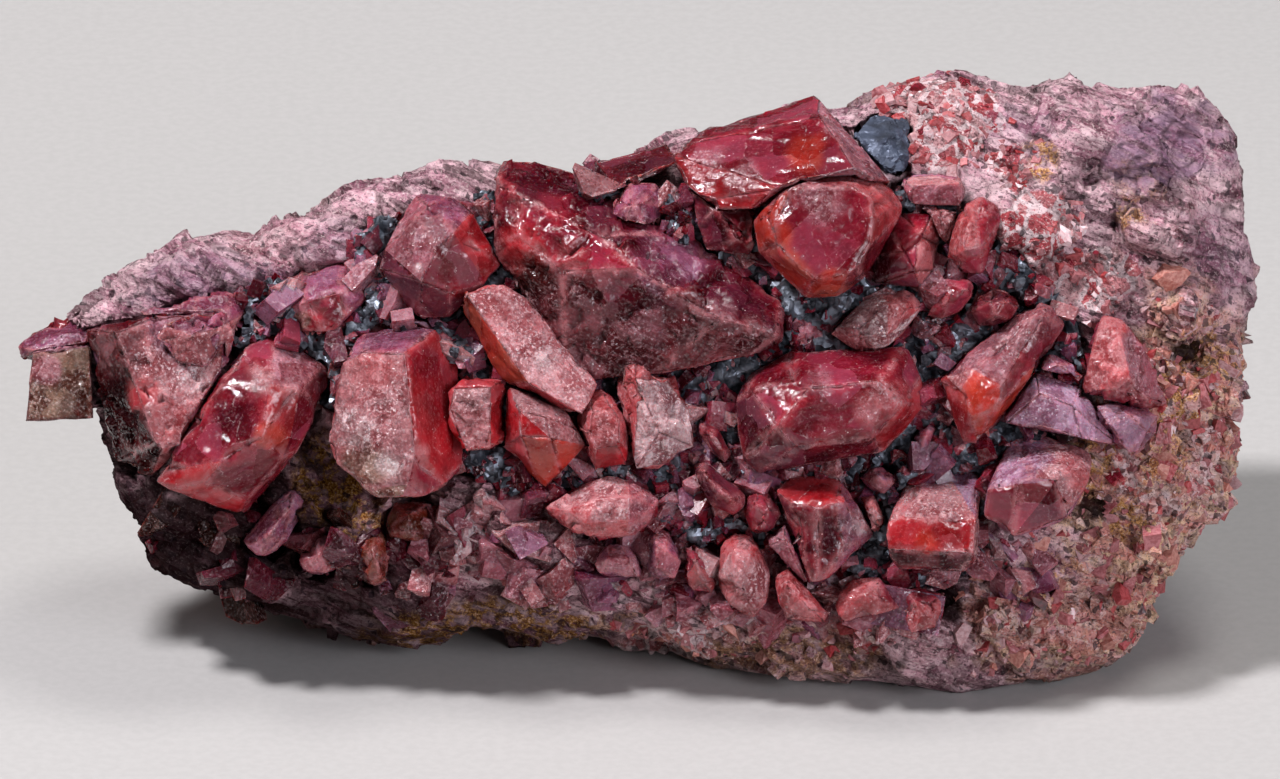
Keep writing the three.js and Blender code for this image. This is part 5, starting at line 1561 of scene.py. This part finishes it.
STONE_GRAINS = (
    Grains(
        "pale_grains", "massive_rhodonite", "rhodonite_grains", 1000, (0.6, 1.9), 71,
        Cover(patches=tuple(ZONES["pale"])),
        {Tone.PALE: 0.12, Tone.HOAR: 0.22, Tone.FROST: 0.36, Tone.SALMON: 0.24, Tone.CRIMSON: 0.06},
        sunk=0.5, stretch=0.3,
    ),
    Grains("rose_grains", "massive_rhodonite", "massive_rhodonite", 1300, (0.4, 1.6), 72, Cover(), sunk=0.45),
    Grains("tan_grains", "massive_rhodonite", "massive_rhodonite", 1500, (0.5, 2.0), 73, TAN_COVER, sunk=0.5),
    Grains(
        "salmon_grains", "massive_rhodonite", "rhodonite_grains", 800, (0.8, 2.8), 79, TAN_COVER,
        {Tone.PEACH: 0.26, Tone.FROST: 0.28, Tone.HOAR: 0.2, Tone.SALMON: 0.18, Tone.RUSSET: 0.08},
        sunk=0.52, stretch=0.4,
    ),
    Grains(
        "dark_crystallets", "wine_rhodonite", "wine_rhodonite", 80, (1.8, 4.6), 77, Cover(patches=LOWER_LEFT),
        {Tone.WINE: 0.45, Tone.BROWN: 0.25, Tone.RUSSET: 0.25, Tone.MAUVE: 0.05},
        sunk=0.55, stretch=1.2, loose=0.4,
    ),
    Grains(
        "row_crystallets", "rose_rhodonite", "rose_rhodonite", 340, (1.4, 4.6), 78, Cover(patches=LOWER_ROW),
        {Tone.ROSE: 0.3, Tone.MAUVE: 0.14, Tone.FROST: 0.36, Tone.CRIMSON: 0.14, Tone.HOAR: 0.06},
        sunk=0.42, stretch=1.0, loose=0.4,
    ),
)
"""The crops that grow on the massive stone."""

GALENA_GRAINS = (
    Grains(
        "galena_grains", "galena", "galena_grains", 1800, (0.35, 1.4), 74, POCKET_COVER, {Tone.SLATE: 1.0},
        stretch=0.3,
    ),
    Grains(
        "rhodonite_chips", "rose_rhodonite", "rose_rhodonite", 1200, (0.4, 1.8), 75, POCKET_COVER,
        {Tone.CRIMSON: 0.3, Tone.ROSE: 0.25, Tone.MAUVE: 0.15, Tone.FROST: 0.08, Tone.WINE: 0.22},
    ),
    Grains(
        "rhodonite_crystallets", "gem_rhodonite", "gem_rhodonite", 860, (1.2, 3.6), 76,
        replace(POCKET_COVER, patches=POCKET_CROWD, thin=0.4),
        {Tone.CRIMSON: 0.34, Tone.ROSE: 0.2, Tone.MAUVE: 0.18, Tone.WINE: 0.22, Tone.FROST: 0.06},
        sunk=0.42, stretch=0.8, loose=0.7,
    ),
)
"""The crops that grow in the galena between the crystals."""


# ---------------------------------------------------------------------------------------- the stage

LAMP_AIM = Vector((0, 0, 0.03))  # the middle of the specimen


@dataclass(frozen=True)
class Lamp:
    """A soft square light that faces the specimen: its place and side in metres, and its power in watts."""

    name: str
    place: tuple[float, float, float]
    side: float
    power: float
    colour: str

    def build(self) -> None:
        """Adds the light."""
        data = bpy.data.lights.new(self.name, "AREA")
        data.size, data.energy, data.color = self.side, self.power, linear(self.colour)[:3]
        light = bpy.data.objects.new(self.name, data)
        light.location = self.place
        light.rotation_euler = (LAMP_AIM - Vector(self.place)).to_track_quat("-Z", "Y").to_euler()
        bpy.context.scene.collection.objects.link(light)


@dataclass
class Studio:
    """A pale floor, soft lights, and a camera that looks at the crystal-bearing face.

    Sizes are in metres, but for the camera's aim and its sensor.
    """

    distance: float = 2.0
    frame_width: float = 1280 / 8.836 * MM  # the frame's width in pixels, at 8.836 pixels to the millimetre
    farthest: float = 50.0  # how far the camera sees
    aim: tuple[float, float, float] = (0.736, 34.8, 0.0)  # u, v and w in mm
    sensor: float = 36.0  # in mm
    floor_size: float = 12.0
    lamps: tuple[Lamp, ...] = (
        Lamp("key", (-0.5, -0.15, 0.95), 0.14, 14.5, "#FBFAFF"),
        Lamp("fill", (0.75, -0.8, 0.45), 0.5, 8, "#F4F4FF"),
        Lamp("top", (0.25, 0.1, 0.9), 0.3, 3.5, "#FFFFFF"),
    )
    room_colour: str = "#F0F2F5"
    room_strength: float = 0.1

    def add_floor(self) -> None:
        """Lays the floor."""
        shape = bmesh.new()
        bmesh.ops.create_grid(shape, x_segments=1, y_segments=1, size=self.floor_size / 2)
        mesh = bpy.data.meshes.new("floor")
        shape.to_mesh(mesh)
        shape.free()
        mesh.materials.append(PaperFinish().make())
        floor = bpy.data.objects.new("floor", mesh)
        bpy.context.scene.collection.objects.link(floor)

    def add_camera(self) -> None:
        """Places the camera."""
        outward = (from_face(0, 0, 1) - from_face(0, 0, 0)).normalized()
        data = bpy.data.cameras.new("camera")
        data.sensor_width = self.sensor
        data.lens = self.sensor * self.distance / self.frame_width
        data.clip_end = self.farthest
        camera = bpy.data.objects.new("camera", data)
        camera.location = from_face(*self.aim) + outward * self.distance
        camera.rotation_euler = outward.to_track_quat("Z", "Y").to_euler()
        bpy.context.scene.collection.objects.link(camera)
        bpy.context.scene.camera = camera

    def build(self) -> None:
        """Sets the whole stage."""
        self.add_floor()
        self.add_camera()
        for lamp in self.lamps:
            lamp.build()
        world = bpy.data.worlds.new("soft_room")
        world.use_nodes = True
        light = world.node_tree.nodes["Background"].inputs
        light["Color"].default_value = linear(self.room_colour)
        light["Strength"].default_value = self.room_strength
        bpy.context.scene.world = world
        bpy.context.scene.view_settings.view_transform = "Standard"


# ------------------------------------------------------------------------------------- the specimen

CRYSTAL_FINISHES = {
    "gem_rhodonite": CrystalFinish("gem", clearness=0.12, inner_light=0.5, streaks=0.35, veils=0.35),
    "wine_rhodonite": CrystalFinish(
        "wine", clearness=0.1, inner_light=0.35, streaks=0.9, granular=0.5, paleness=0.6
    ),
    "magenta_rhodonite": CrystalFinish("magenta", clearness=0.1, inner_light=0.5),
    "mauve_rhodonite": CrystalFinish("mauve", inner_light=0.3, streaks=1.0, granular=0.5, paleness=0.64),
    "amber_rhodonite": CrystalFinish("amber", clearness=0.1, inner_light=0.5),
}
"""The finishes by slot, where they aren't the usual one."""


@dataclass
class Specimen:
    """The whole specimen."""

    grown: float = 0.05  # how far the faces of a grown crystal break up, in mm
    broken: float = 0.32  # and those of a broken one

    def build_crystals(self) -> dict[str, bpy.types.Material]:
        """Builds every crystal.

        Returns:
            The crystals' materials by slot.
        """
        slots = {row["node"]: row["material_slot"] for row in frame["record"]["subparts"]}
        materials = {}
        for number, (node, slot) in enumerate(sorted(slots.items())):
            if slot in ("galena", "massive_rhodonite"):
                continue
            if slot not in materials:
                usual = CrystalFinish(slot.removesuffix("_rhodonite"))
                materials[slot] = CRYSTAL_FINISHES.get(slot, usual).make()
            broken = self.broken if node in BROKEN_CRYSTALS else self.grown
            Crystal(node, slot, materials[slot], seed=17 + 13 * number, broken=broken).build()
        return materials

    def build(self) -> None:
        """Builds the stone, the galena, the crystals and then the grains that grow on them."""
        stone = MassiveStone().build()
        fill = GalenaMass("galena_fill", GalenaFinish().make()).build()
        blue = GalenaFinish("galena_tarnished_blue", "#4C5364", "#30343F", metal=0.3).make()
        GalenaMass("galena_block", blue, voxel=0.3, roughness=0.45).build()
        materials = self.build_crystals()
        materials["massive_rhodonite"] = stone.data.materials[0]
        for finish in (GrainFinish("rhodonite_grains"), GrainFinish("galena_grains", metal=0.7)):
            materials[finish.name] = finish.make()
        for ground, crops in ((stone, STONE_GRAINS), (fill, GALENA_GRAINS)):
            for grains in crops:
                grains.build(ground, materials[grains.material])


def main() -> None:
    """Builds the specimen on its stage."""
    logging.basicConfig(level=logging.INFO, format="%(message)s")
    Studio().build()
    Specimen().build()


if __name__ == "__main__":
    main()
